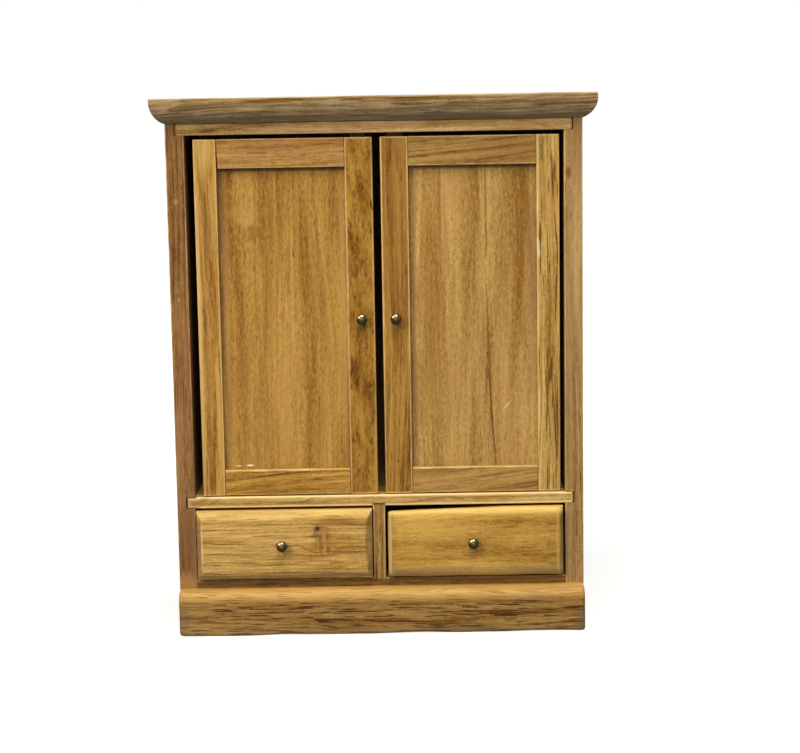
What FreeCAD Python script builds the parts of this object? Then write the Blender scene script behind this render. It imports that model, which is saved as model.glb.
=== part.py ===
import FreeCAD, Part
import math
import os

import Sketcher
from FreeCAD import Vector

# A 1:12 miniature television armoire in oak: a carcass of boards housed in two sides,
# a pair of frame-and-panel doors that turn on brass pins, and two drawers below them.
#
# Frame: X to the right, Y to the back, Z up. The origin is on the floor, in the middle
# of the width and of the depth from the drawer knobs to the back. Millimetres.

DIMENSIONS = [
    # the carcass
    ("overall_height", 152.4, "floor to the top of the cornice"),
    ("carcass_width", 116.1, "over the outer faces of the sides"),
    ("carcass_depth", 46.0, "front edge of a side to its rear edge"),
    ("side_thickness", 5.2, "side boards"),
    ("board_thickness", 3.2, "carcass top, shelf and bottom board"),
    ("housing_depth", 2.6, "depth of the housings and rabbets in the sides"),
    ("housing_play", 0.15, "end of a board from the bottom of its housing"),
    ("housing_stop", 3.0, "front edge of a side to its stopped housing"),
    ("back_thickness", 1.6, "back panel"),
    ("shelf_top", 39.6, "height of the television shelf"),
    ("bottom_top", 15.3, "height of the board under the drawers"),
    ("divider_thickness", 3.5, "upright between the drawers"),
    ("divider_offset", -0.4, "middle of the divider from the middle of the carcass"),
    ("divider_housing", 0.8, "how far the divider is let into the boards"),
    ("arris_round", 0.35, "sanding on a board's long front arrises"),
    ("arris_ease", 0.15, "sanding on a door's arrises beside its panel"),
    ("end_round", 0.5, "sanding on the ends of a board before it is housed"),
    # the cornice
    ("cornice_overhang", 3.95, "past the carcass at the front and at each end"),
    ("cornice_thickness", 7.0, "height of the cornice board"),
    ("cornice_flat", 1.1, "upright edge above the moulding"),
    ("cornice_round", 0.45, "sanding on the cornice's upper arris"),
    # the plinth
    ("plinth_height", 13.0, "height of the plinth"),
    ("plinth_thickness", 4.76, "thickness of the plinth"),
    ("plinth_round", 3.0, "round along the plinth's upper front edge"),
    ("plinth_ends", 0.8, "sanding on the plinth's ends and lower edge"),
    # the doors
    ("door_thickness", 3.2, "stiles and rails"),
    ("door_recess", 0.8, "face of a door behind the carcass front"),
    ("left_door_gap", 2.35, "left side to the left door"),
    ("right_door_gap", 1.25, "right door to the right side"),
    ("meeting_gap", 2.2, "between the two doors"),
    ("door_bottom_gap", 0.25, "shelf to the doors"),
    ("door_top_gap", 1.2, "doors to the carcass top"),
    ("hinge_stile_width", 6.35, "stile on the hinge side"),
    ("meeting_stile_width", 7.7, "stile that carries the knob"),
    ("top_rail_height", 8.1, "upper rail of a door"),
    ("bottom_rail_height", 7.4, "lower rail of a door"),
    ("panel_thickness", 1.6, "door panel, and depth of the rabbet it lies in"),
    ("panel_lap", 1.6, "width of the rabbet, and length of a rail's tongue"),
    ("panel_play", 0.1, "room round the panel in its rabbet"),
    ("shoulder_gap", 0.1, "open line between the shoulder of a rail and a stile"),
    ("shoulder_slant", 0.4, "how far the left door's upper rail is cut out of square"),
    ("stop_width", 4.0, "door stop, along the carcass"),
    ("stop_inset", 2.0, "door stop from the meeting edge of its door"),
    ("stop_depth", 3.0, "door stop, front to back"),
    ("stop_height", 4.7, "door stop, below the carcass top"),
    ("stop_gap", 0.1, "doors to the door stop"),
    # the pins that the doors turn on
    ("pin_diameter", 1.0, "shank of a hinge pin"),
    ("pin_clearance", 0.05, "round the pin in a door, on the radius"),
    ("pin_inset", 2.2, "pin axis from the hinge edge of a door"),
    ("pin_reach", 3.0, "length of a pin inside a door"),
    ("pin_head_diameter", 1.8, "head of a pin"),
    ("pin_head_thickness", 0.4, "head of a pin, let in flush"),
    ("pin_play", 0.05, "end of the upper pin from the bottom of its hole"),
    # the knobs
    ("knob_diameter", 3.05, "rim of a knob"),
    ("knob_reach", 2.7, "how far a knob stands off the wood"),
    ("knob_rim_height", 1.55, "front of the rim above the wood"),
    ("knob_rim_width", 0.3, "width of the rim's edge"),
    ("knob_neck_diameter", 1.5, "neck of a knob"),
    ("knob_neck_length", 0.6, "neck of a knob, before it flares to the rim"),
    ("knob_shank_diameter", 1.0, "shank in the wood"),
    ("knob_shank_length", 2.4, "shank in the wood"),
    ("door_knob_inset", 3.7, "knob from the meeting edge of a door"),
    ("door_knob_height", 90.0, "knobs of the doors above the floor"),
    ("drawer_knob_offset", -0.7, "knob of a drawer from the middle of its front"),
    # the drawers
    ("drawer_front_width", 50.15, "drawer front"),
    ("drawer_front_height", 19.9, "drawer front"),
    ("drawer_front_thickness", 4.76, "drawer front"),
    ("drawer_front_proud", 2.5, "face of a drawer front before the carcass front"),
    ("bevel_width", 1.7, "bevel round a drawer front, across its face"),
    ("bevel_depth", 1.2, "bevel round a drawer front, in its thickness"),
    ("bevel_soften", 1.1, "sanding on the bevels of the softer drawer front"),
    ("corner_soften", 0.7, "sanding on the corners of the softer drawer front"),
    ("drawer_front_gap", 0.5, "bottom board to a drawer front"),
    ("drawer_run_gap", 0.05, "bottom board to the drawer walls"),
    ("drawer_stop_gap", 0.1, "drawer walls to the back panel"),
    ("drawer_wall", 1.6, "walls and back of a drawer"),
    ("drawer_wall_height", 17.0, "walls of a drawer"),
    ("drawer_back_drop", 1.0, "back of a drawer below the top of its walls"),
    ("drawer_lap", 2.4, "rabbet behind the front that takes a wall"),
    ("drawer_base_thickness", 1.2, "base of a drawer"),
    ("drawer_base_rise", 1.2, "base above the lower edge of the walls"),
    ("drawer_groove", 0.8, "depth of the grooves for base and back"),
]

doc = FreeCAD.newDocument("television_armoire")
dims = doc.addObject("Spreadsheet::Sheet", "Dims")
for row, (alias, number, meaning) in enumerate(DIMENSIONS, start=1):
    dims.set(f"A{row}", alias)
    dims.set(f"B{row}", str(number))
    dims.setAlias(f"B{row}", alias)
    dims.set(f"C{row}", meaning)
doc.recompute()

# Lengths and places that several boards share, as expressions of the sheet.
CARCASS_FRONT = "(Dims.drawer_front_proud + Dims.knob_reach - Dims.carcass_depth) / 2"
CARCASS_HEIGHT = "(Dims.overall_height - Dims.cornice_thickness)"
LEFT_FACE = "(-Dims.carcass_width / 2)"
LEFT_INSIDE = f"({LEFT_FACE} + Dims.side_thickness)"
RIGHT_INSIDE = f"(-{LEFT_INSIDE})"
HOUSED_LEFT = f"({LEFT_INSIDE} - Dims.housing_depth)"
BOARD_LEFT = f"({HOUSED_LEFT} + Dims.housing_play)"
BOARD_LENGTH = f"(-2 * {BOARD_LEFT})"
BOARD_DEPTH = "(Dims.carcass_depth - Dims.back_thickness)"
TOP_UNDERSIDE = f"({CARCASS_HEIGHT} - Dims.board_thickness)"
SHELF_UNDERSIDE = "(Dims.shelf_top - Dims.board_thickness)"
BOTTOM_UNDERSIDE = "(Dims.bottom_top - Dims.board_thickness)"
DIVIDER_LEFT = "(Dims.divider_offset - Dims.divider_thickness / 2)"
DIVIDER_RIGHT = "(Dims.divider_offset + Dims.divider_thickness / 2)"

DOOR_WIDTH = (
    f"(({RIGHT_INSIDE} - {LEFT_INSIDE} - Dims.left_door_gap"
    " - Dims.meeting_gap - Dims.right_door_gap) / 2)"
)
DOOR_BOTTOM = "(Dims.shelf_top + Dims.door_bottom_gap)"
DOOR_HEIGHT = f"({TOP_UNDERSIDE} - Dims.door_top_gap - {DOOR_BOTTOM})"
DOOR_FRONT = f"({CARCASS_FRONT} + Dims.door_recess)"
LEFT_DOOR_LEFT = f"({LEFT_INSIDE} + Dims.left_door_gap)"
RIGHT_DOOR_LEFT = f"({LEFT_DOOR_LEFT} + {DOOR_WIDTH} + Dims.meeting_gap)"
RAIL_LENGTH = f"({DOOR_WIDTH} - Dims.hinge_stile_width - Dims.meeting_stile_width)"
LEFT_PIN = f"({LEFT_DOOR_LEFT} + Dims.pin_inset)"
RIGHT_PIN = f"({RIGHT_DOOR_LEFT} + {DOOR_WIDTH} - Dims.pin_inset)"
PIN_DEPTH = "(Dims.door_recess + Dims.door_thickness / 2)"

WALL_BOTTOM = "(Dims.bottom_top + Dims.drawer_run_gap)"
WALL_FRONT = "(Dims.drawer_front_thickness - Dims.drawer_front_proud - Dims.drawer_lap)"
WALL_LENGTH = f"({BOARD_DEPTH} - Dims.drawer_stop_gap - {WALL_FRONT})"
BACK_BOTTOM = "(Dims.drawer_base_rise + Dims.drawer_base_thickness)"


def value(expression):
    """The number that an expression of the sheet stands for now."""
    result = dims.evalExpression(expression)
    return float(getattr(result, "Value", result))


# ---------------------------------------------------------------- sketches


def new_body(label, x, y, z):
    """An empty body whose own corner is placed at x, y, z by expressions."""
    body = doc.addObject("PartDesign::Body", label)
    body.Label = label
    body.setExpression(".Placement.Base.x", x)
    body.setExpression(".Placement.Base.y", y)
    body.setExpression(".Placement.Base.z", z)
    return body


def sketch_on(body, name, plane, offset=None):
    """A sketch on one of the body's own origin planes, moved along its normal."""
    sketch = body.newObject("Sketcher::SketchObject", f"{body.Name}_{name}")
    support = next(f for f in body.Origin.OriginFeatures if f.Role == plane)
    sketch.AttachmentSupport = [(support, "")]
    sketch.MapMode = "FlatFace"
    if offset:
        sketch.setExpression(".AttachmentOffset.Base.z", offset)
    return sketch


def bind(sketch, constraint, name, expression):
    """Adds a constraint and ties its value to an expression."""
    index = sketch.addConstraint(constraint)
    sketch.renameConstraint(index, name)
    sketch.setExpression(f"Constraints.{name}", expression)


def rectangle(sketch, x, y, width, height):
    """A rectangle from its lower left corner and its size, all expressions."""
    left, low = value(x), value(y)
    right, high = left + value(width), low + value(height)
    corners = [(left, low), (right, low), (right, high), (left, high)]
    first = sketch.GeometryCount
    for i, start in enumerate(corners):
        end = corners[(i + 1) % 4]
        sketch.addGeometry(Part.LineSegment(Vector(*start), Vector(*end)), False)
    for i in range(4):
        joined = first + (i + 1) % 4
        sketch.addConstraint(Sketcher.Constraint("Coincident", first + i, 2, joined, 1))
        direction = ("Horizontal", "Vertical")[i % 2]
        sketch.addConstraint(Sketcher.Constraint(direction, first + i))
    corner = (-1, 1, first, 1)
    bind(sketch, Sketcher.Constraint("DistanceX", *corner, left), f"left{first}", x)
    bind(sketch, Sketcher.Constraint("DistanceY", *corner, low), f"low{first}", y)
    across = Sketcher.Constraint("DistanceX", first, 1, first, 2, right - left)
    bind(sketch, across, f"wide{first}", width)
    upward = Sketcher.Constraint("DistanceY", first + 1, 1, first + 1, 2, high - low)
    bind(sketch, upward, f"high{first}", height)


def circle(sketch, x, y, diameter):
    """A circle from its centre and its diameter, all expressions."""
    centre = Vector(value(x), value(y))
    size = value(diameter)
    curve = Part.Circle(centre, Vector(0, 0, 1), size / 2)
    index = sketch.addGeometry(curve, False)
    middle = (-1, 1, index, 3)
    bind(sketch, Sketcher.Constraint("DistanceX", *middle, centre.x), f"x{index}", x)
    bind(sketch, Sketcher.Constraint("DistanceY", *middle, centre.y), f"y{index}", y)
    bind(sketch, Sketcher.Constraint("Diameter", index, size), f"size{index}", diameter)


def outline(sketch, points):
    """A closed outline, counter-clockwise.

    A point (x, y) ends a straight run. A point (x, y, radius) ends an arc that swells
    outwards, and (x, y, radius, "hollow") one that bends inwards.
    """
    places = [Vector(value(p[0]), value(p[1])) for p in points]
    ends = []
    for i, point in enumerate(points):
        start, end = places[i - 1], places[i]
        if len(point) == 2:
            index = sketch.addGeometry(Part.LineSegment(start, end), False)
            ends.append((index, 1, 2))
            continue
        hollow = len(point) == 4
        radius = value(point[2])
        run = end - start
        rise = math.sqrt(max(0.0, radius**2 - run.Length**2 / 4))
        leftward = Vector(-run.y, run.x).normalize() * rise
        centre = (start + end) / 2 + (-leftward if hollow else leftward)
        first, last = (end, start) if hollow else (start, end)
        angles = [math.atan2(p.y - centre.y, p.x - centre.x) for p in (first, last)]
        curve = Part.Circle(centre, Vector(0, 0, 1), radius)
        index = sketch.addGeometry(Part.ArcOfCircle(curve, *angles), False)
        bind(sketch, Sketcher.Constraint("Radius", index, radius), f"round{i}", point[2])
        ends.append((index, 2, 1) if hollow else (index, 1, 2))
    for i, (index, start, end) in enumerate(ends):
        following = ends[(i + 1) % len(ends)]
        joint = Sketcher.Constraint("Coincident", index, end, following[0], following[1])
        sketch.addConstraint(joint)
        tip = (-1, 1, index, end)
        x, y = points[i][:2]
        bind(sketch, Sketcher.Constraint("DistanceX", *tip, places[i].x), f"x{i}", x)
        bind(sketch, Sketcher.Constraint("DistanceY", *tip, places[i].y), f"y{i}", y)


# ---------------------------------------------------------------- features


def pad(body, sketch, length, backwards=False):
    """Raises a sketch by a length, against its normal when backwards is set."""
    feature = body.newObject("PartDesign::Pad", f"{sketch.Name}_pad")
    feature.Profile = sketch
    feature.setExpression("Length", length)
    feature.Reversed = backwards
    sketch.Visibility = False
    doc.recompute()
    return feature


def cut(body, sketch, depth=None, backwards=False):
    """Cuts a sketch to a depth, or right through, and makes sure that wood went."""
    before = body.Tip.Shape.Volume
    feature = body.newObject("PartDesign::Pocket", f"{sketch.Name}_cut")
    feature.Profile = sketch
    if depth:
        feature.setExpression("Length", depth)
    else:
        feature.Type = "ThroughAll"
    feature.Reversed = backwards
    sketch.Visibility = False
    doc.recompute()
    if body.Tip.Shape.Volume > before - 1e-4:
        raise RuntimeError(f"{feature.Name} cuts nothing")
    return feature


def round_over(body, radius, chosen):
    """Rounds the edges of the body whose box passes the test that is given."""
    base = body.Tip
    edges = enumerate(base.Shape.Edges, start=1)
    names = [f"Edge{n}" for n, edge in edges if chosen(edge.BoundBox)]
    if not names:
        raise RuntimeError(f"{body.Name} has no such edges to round")
    feature = body.newObject("PartDesign::Fillet", f"{body.Name}_round")
    feature.Base = (base, names)
    feature.setExpression("Radius", radius)
    doc.recompute()
    return feature


def near(a, b):
    return abs(a - b) < 1e-4


def board(label, place, size):
    """A plain board from its lower left front corner: width, depth and height."""
    body = new_body(label, *place)
    sketch = sketch_on(body, "plan", "XY_Plane")
    rectangle(sketch, "0", "0", size[0], size[1])
    pad(body, sketch, size[2])
    return body


# ---------------------------------------------------------------- the carcass


def side(label, left):
    """A side, housed on its inner face for three boards and rabbeted for the back.

    The housings of the top and the shelf show at the front. The bottom board's stops
    short of it.
    """
    x = LEFT_FACE if left else RIGHT_INSIDE
    size = ("Dims.side_thickness", "Dims.carcass_depth", CARCASS_HEIGHT)
    body = board(label, (x, CARCASS_FRONT, "0"), size)
    inner = "Dims.side_thickness - Dims.housing_depth" if left else "0"
    section = ("Dims.housing_depth", "Dims.board_thickness")
    through = sketch_on(body, "through_housings", "XZ_Plane")
    for underside in (SHELF_UNDERSIDE, TOP_UNDERSIDE):
        rectangle(through, inner, underside, *section)
    cut(body, through)
    stopped = sketch_on(body, "stopped_housing", "XZ_Plane", "-Dims.housing_stop")
    rectangle(stopped, inner, BOTTOM_UNDERSIDE, *section)
    cut(body, stopped)
    rabbet = sketch_on(body, "rabbet", "XY_Plane")
    rectangle(rabbet, inner, BOARD_DEPTH, "Dims.housing_depth", "Dims.back_thickness")
    cut(body, rabbet, backwards=True)
    faces = (0, value("Dims.side_thickness"))
    round_over(
        body,
        "Dims.arris_round",
        lambda box: near(box.YMax, 0)
        and near(box.XLength, 0)
        and box.ZLength > 1
        and any(near(box.XMin, face) for face in faces),
    )
    return body


def pin_holes(body, head_up):
    """Two holes through a carcass board for the hinge pins, with sunk heads."""
    heads_at = "Dims.board_thickness" if head_up else None
    for name, offset, diameter, depth in (
        ("holes", None, "Dims.pin_diameter", None),
        ("heads", heads_at, "Dims.pin_head_diameter", "Dims.pin_head_thickness"),
    ):
        sketch = sketch_on(body, name, "XY_Plane", offset)
        for pin in (LEFT_PIN, RIGHT_PIN):
            circle(sketch, f"{pin} - {BOARD_LEFT}", PIN_DEPTH, diameter)
        cut(body, sketch, depth, backwards=offset is None)


def divider_groove(body, at_top):
    """The housing across a board that takes one end of the drawer divider."""
    low = "Dims.board_thickness - Dims.divider_housing" if at_top else "0"
    sketch = sketch_on(body, "groove", "XZ_Plane")
    left = f"{DIVIDER_LEFT} - {BOARD_LEFT}"
    rectangle(sketch, left, low, "Dims.divider_thickness", "Dims.divider_housing")
    cut(body, sketch)


def housed_board(label, underside, stopped=False):
    """A board that runs from housing to housing, with its front arrises and ends sanded.

    Where the housings are stopped, its front corners are notched to fit between the
    sides.
    """
    size = (BOARD_LENGTH, BOARD_DEPTH, "Dims.board_thickness")
    body = board(label, (BOARD_LEFT, CARCASS_FRONT, underside), size)
    if stopped:
        notch = "(Dims.housing_depth - Dims.housing_play)"
        corners = sketch_on(body, "notches", "XY_Plane")
        for left in ("0", f"{BOARD_LENGTH} - {notch}"):
            rectangle(corners, left, "0", notch, "Dims.housing_stop")
        cut(body, corners, backwards=True)
    ends = (0, value(BOARD_LENGTH))
    round_over(
        body,
        "Dims.end_round",
        lambda box: box.YLength > 1
        and near(box.XLength, 0)
        and any(near(box.XMin, end) for end in ends),
    )
    round_over(
        body,
        "Dims.arris_round",
        lambda box: near(box.YMax, 0) and box.XLength > 1,
    )
    return body


def carcass_top():
    body = housed_board("carcass_top", TOP_UNDERSIDE)
    pin_holes(body, head_up=True)
    return body


def tv_shelf():
    body = housed_board("tv_shelf", SHELF_UNDERSIDE)
    pin_holes(body, head_up=False)
    divider_groove(body, at_top=False)
    return body


def bottom_board():
    body = housed_board("bottom_board", BOTTOM_UNDERSIDE, stopped=True)
    divider_groove(body, at_top=True)
    return body


def drawer_divider():
    """The upright between the drawers, let into the boards above and below it."""
    low = "(Dims.bottom_top - Dims.divider_housing)"
    height = f"({SHELF_UNDERSIDE} + Dims.divider_housing - Dims.housing_play - {low})"
    size = ("Dims.divider_thickness", BOARD_DEPTH, height)
    body = board("drawer_divider", (DIVIDER_LEFT, CARCASS_FRONT, low), size)
    round_over(
        body,
        "Dims.arris_round",
        lambda box: near(box.YMax, 0) and box.ZLength > 1,
    )
    return body


def cornice():
    """The top board. A quarter-round of wide radius runs along its front and ends.

    The round starts upright below the flat and meets the carcass face at the underside,
    so its radius follows from the overhang and the drop. The front is in the section
    that is drawn out along the board, and the ends are cut with the same curve, which
    makes the mitred corners.
    """
    width = "(Dims.carcass_width + 2 * Dims.cornice_overhang)"
    depth = "(Dims.carcass_depth + Dims.cornice_overhang)"
    drop = "(Dims.cornice_thickness - Dims.cornice_flat)"
    radius = (
        f"(Dims.cornice_overhang * Dims.cornice_overhang + {drop} * {drop})"
        " / (2 * Dims.cornice_overhang)"
    )
    x = f"{LEFT_FACE} - Dims.cornice_overhang"
    y = f"{CARCASS_FRONT} - Dims.cornice_overhang"
    body = new_body("cornice", x, y, CARCASS_HEIGHT)
    section = sketch_on(body, "section", "YZ_Plane")
    outline(
        section,
        [
            (depth, "0"),
            (depth, "Dims.cornice_thickness"),
            ("0", "Dims.cornice_thickness"),
            ("0", drop),
            ("Dims.cornice_overhang", "0", radius),
        ],
    )
    pad(body, section, width)
    for end, points in (
        ("left", [("0", "0"), ("Dims.cornice_overhang", "0"), ("0", drop, radius, "hollow")]),
        (
            "right",
            [
                (width, "0"),
                (width, drop),
                (f"{width} - Dims.cornice_overhang", "0", radius, "hollow"),
            ],
        ),
    ):
        waste = sketch_on(body, f"{end}_end", "XZ_Plane")
        outline(waste, points)
        cut(body, waste)
    top, back = value("Dims.cornice_thickness"), value(depth)
    round_over(
        body,
        "Dims.cornice_round",
        lambda box: near(box.ZMin, top) and not near(box.YMin, back),
    )
    return body


def plinth():
    """The board across the foot of the front, well rounded along its upper edge."""
    y = f"{CARCASS_FRONT} - Dims.plinth_thickness"
    size = ("Dims.carcass_width", "Dims.plinth_thickness", "Dims.plinth_height")
    body = board("plinth", (LEFT_FACE, y, "0"), size)
    top = value("Dims.plinth_height")
    round_over(
        body,
        "Dims.plinth_round",
        lambda box: near(box.YMax, 0) and near(box.ZMin, top),
    )
    round_over(
        body,
        "Dims.plinth_ends",
        lambda box: near(box.YMax, 0)
        and (near(box.ZMax, 0) or (box.ZLength > 1 and near(box.XLength, 0))),
    )
    return body


def back_panel():
    """The thin back, in the rabbets of the sides and over the ends of the boards."""
    y = f"{CARCASS_FRONT} + {BOARD_DEPTH}"
    size = (BOARD_LENGTH, "Dims.back_thickness", CARCASS_HEIGHT)
    return board("back_panel", (BOARD_LEFT, y, "0"), size)


def door_stop():
    """Two blocks under the carcass top, one behind the meeting stile of each door."""
    y = f"{DOOR_FRONT} + Dims.door_thickness + Dims.stop_gap"
    z = f"{TOP_UNDERSIDE} - Dims.stop_height"
    left_edge = f"{RIGHT_DOOR_LEFT} - Dims.meeting_gap"
    left_block = f"{left_edge} - Dims.stop_inset - Dims.stop_width"
    body = new_body("door_stop", left_block, y, z)
    body.AllowCompound = True
    plan = sketch_on(body, "plan", "XY_Plane")
    between = "(Dims.stop_width + 2 * Dims.stop_inset + Dims.meeting_gap)"
    for x in ("0", between):
        rectangle(plan, x, "0", "Dims.stop_width", "Dims.stop_depth")
    pad(body, plan, "Dims.stop_height")
    return body


def hinge_pin(label, x, upper):
    """A headed brass pin, drawn with its head at the bottom and its point up.

    It is driven through a carcass board and reaches into the end of a door. The upper
    one hangs the other way up.
    """
    gap = "Dims.door_top_gap" if upper else "Dims.door_bottom_gap"
    length = f"(Dims.board_thickness + {gap} + Dims.pin_reach)"
    y = f"{CARCASS_FRONT} + {PIN_DEPTH}"
    body = new_body(label, x, y, CARCASS_HEIGHT if upper else SHELF_UNDERSIDE)
    if upper:
        body.Placement.Rotation = FreeCAD.Rotation(Vector(1, 0, 0), 180)
    profile = sketch_on(body, "profile", "XZ_Plane")
    shank = "Dims.pin_diameter / 2"
    point = "Dims.pin_diameter / 5"
    outline(
        profile,
        [
            ("0", "0"),
            ("Dims.pin_head_diameter / 2", "0"),
            ("Dims.pin_head_diameter / 2", "Dims.pin_head_thickness"),
            (shank, "Dims.pin_head_thickness"),
            (shank, f"{length} - {point}"),
            (f"{shank} - {point}", length),
            ("0", length),
        ],
    )
    turned(body, profile)
    return body


def turned(body, profile):
    """Spins a half outline about its own upright axis."""
    feature = body.newObject("PartDesign::Revolution", f"{profile.Name}_turned")
    feature.Profile = profile
    feature.ReferenceAxis = (profile, ["V_Axis"])
    feature.Angle = 360
    profile.Visibility = False
    doc.recompute()
    return feature


def knob(label, x, y, z):
    """A turned brass knob: shank, neck, flare, thin rim and a domed face.

    Drawn in plan with the shank along +Y, from the face of the wood.
    """
    body = new_body(label, x, y, z)
    profile = sketch_on(body, "profile", "XY_Plane")
    rim = "Dims.knob_diameter / 2"
    dome = "(Dims.knob_reach - Dims.knob_rim_height)"
    dome_radius = f"(({rim}) * ({rim}) + {dome} * {dome}) / (2 * {dome})"
    neck = "Dims.knob_neck_diameter / 2"
    shank = "Dims.knob_shank_diameter / 2"
    outline(
        profile,
        [
            ("0", "-Dims.knob_reach"),
            (rim, "-Dims.knob_rim_height", dome_radius),
            (rim, "Dims.knob_rim_width - Dims.knob_rim_height"),
            (neck, "-Dims.knob_neck_length"),
            (neck, "0"),
            (shank, "0"),
            (shank, "Dims.knob_shank_length"),
            ("0", "Dims.knob_shank_length"),
        ],
    )
    turned(body, profile)
    return body


# ---------------------------------------------------------------- the doors


def hinge_stile(label, x, left):
    """The stile that the pins enter: rabbeted for the panel, bored at both ends."""
    size = ("Dims.hinge_stile_width", "Dims.door_thickness", DOOR_HEIGHT)
    body = board(label, (x, DOOR_FRONT, DOOR_BOTTOM), size)
    stile_rabbet(body, "Dims.hinge_stile_width - Dims.panel_lap" if left else "0")
    across = "Dims.pin_inset" if left else "Dims.hinge_stile_width - Dims.pin_inset"
    bore = "Dims.pin_diameter + 2 * Dims.pin_clearance"
    for name, offset, depth in (
        ("lower_hole", None, "Dims.pin_reach"),
        ("upper_hole", DOOR_HEIGHT, "Dims.pin_reach + Dims.pin_play"),
    ):
        hole = sketch_on(body, name, "XY_Plane", offset)
        circle(hole, across, "Dims.door_thickness / 2", bore)
        cut(body, hole, depth, backwards=offset is None)
    sand_stile(body, "Dims.hinge_stile_width", edge_left=left)
    return body


def meeting_stile(label, x, left):
    """The stile at the middle of the armoire, bored for the knob."""
    size = ("Dims.meeting_stile_width", "Dims.door_thickness", DOOR_HEIGHT)
    body = board(label, (x, DOOR_FRONT, DOOR_BOTTOM), size)
    stile_rabbet(body, "0" if left else "Dims.meeting_stile_width - Dims.panel_lap")
    sand_stile(body, "Dims.meeting_stile_width", edge_left=not left)
    inset = "Dims.door_knob_inset"
    across = f"Dims.meeting_stile_width - {inset}" if left else inset
    hole = sketch_on(body, "knob_hole", "XZ_Plane")
    height = f"Dims.door_knob_height - {DOOR_BOTTOM}"
    circle(hole, across, height, "Dims.knob_shank_diameter")
    cut(body, hole, "Dims.knob_shank_length")
    return body


def stile_rabbet(body, x):
    """The rabbet behind a stile, from end to end, for panel and rail tongues."""
    sketch = sketch_on(body, "rabbet", "XY_Plane")
    y = "Dims.door_thickness - Dims.panel_thickness"
    rectangle(sketch, x, y, "Dims.panel_lap", "Dims.panel_thickness")
    cut(body, sketch, backwards=True)


def sand_stile(body, width, edge_left):
    """Sands the front arrises: well along the door's edge, less beside the panel."""
    sides = (0, value(width)) if edge_left else (value(width), 0)
    for radius, x in zip(("Dims.arris_round", "Dims.arris_ease"), sides):
        round_over(
            body,
            radius,
            lambda box: near(box.YMax, 0) and near(box.XMin, x) and near(box.XMax, x),
        )


def rail(label, x, z, height, top, slanted=False):
    """A rail: its front butts against the stiles, its tongues lie in their rabbets.

    The rabbet for the panel runs along its inner edge, so the tongues are lower than
    the rail by the same lap. A slanted rail has its left shoulder cut out of square, so
    that the line beside it opens downwards.
    """
    length = f"{RAIL_LENGTH} + 2 * Dims.panel_lap"
    shoulder = "Dims.door_thickness - Dims.panel_thickness"
    size = (length, "Dims.door_thickness", height)
    body = board(label, (f"{x} - Dims.panel_lap", DOOR_FRONT, z), size)
    ends = sketch_on(body, "shoulders", "XY_Plane")
    reach = "(Dims.panel_lap + Dims.shoulder_gap)"
    for left in ("0", f"{length} - {reach}"):
        rectangle(ends, left, "0", reach, shoulder)
    cut(body, ends, backwards=True)
    if slanted:
        waste = sketch_on(body, "slant", "XZ_Plane")
        outline(waste, [(reach, "0"), (f"{reach} + Dims.shoulder_slant", "0"), (reach, height)])
        cut(body, waste, shoulder)
    rabbet = sketch_on(body, "rabbet", "YZ_Plane")
    low = "0" if top else f"{height} - Dims.panel_lap"
    rectangle(rabbet, shoulder, low, "Dims.panel_thickness", "Dims.panel_lap")
    cut(body, rabbet, backwards=True)
    outer = value(height) if top else 0
    for radius, at_outer in (("Dims.arris_round", True), ("Dims.arris_ease", False)):
        round_over(
            body,
            radius,
            lambda box: near(box.YMax, 0)
            and box.XLength > 1
            and near(box.ZMin, outer) == at_outer,
        )
    return body


def door_panel(label, x):
    """The thin panel, which lies in the rabbets flush with the back of the frame."""
    margin = "(Dims.panel_lap - Dims.panel_play)"
    y = f"{DOOR_FRONT} + Dims.door_thickness - Dims.panel_thickness"
    z = f"{DOOR_BOTTOM} + Dims.bottom_rail_height - {margin}"
    height = f"{DOOR_HEIGHT} - Dims.top_rail_height - Dims.bottom_rail_height"
    size = (f"{RAIL_LENGTH} + 2 * {margin}", "Dims.panel_thickness", f"{height} + 2 * {margin}")
    return board(label, (f"{x} - {margin}", y, z), size)


def door(name, left):
    """Two stiles, two rails, a panel and a knob."""
    start = LEFT_DOOR_LEFT if left else RIGHT_DOOR_LEFT
    first = "Dims.hinge_stile_width" if left else "Dims.meeting_stile_width"
    rails = f"({start} + {first})"
    second = f"({rails} + {RAIL_LENGTH})"
    hinge_x, meeting_x = (start, second) if left else (second, start)
    top = f"{DOOR_BOTTOM} + {DOOR_HEIGHT} - Dims.top_rail_height"
    if left:
        knob_x = f"{start} + {DOOR_WIDTH} - Dims.door_knob_inset"
    else:
        knob_x = f"{start} + Dims.door_knob_inset"
    return [
        hinge_stile(f"{name}_hinge_stile", hinge_x, left),
        meeting_stile(f"{name}_meeting_stile", meeting_x, left),
        rail(f"{name}_top_rail", rails, top, "Dims.top_rail_height", True, slanted=left),
        rail(f"{name}_bottom_rail", rails, DOOR_BOTTOM, "Dims.bottom_rail_height", False),
        door_panel(f"{name}_panel", rails),
        knob(f"{name}_knob", knob_x, DOOR_FRONT, "Dims.door_knob_height"),
    ]


# ---------------------------------------------------------------- the drawers


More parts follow.
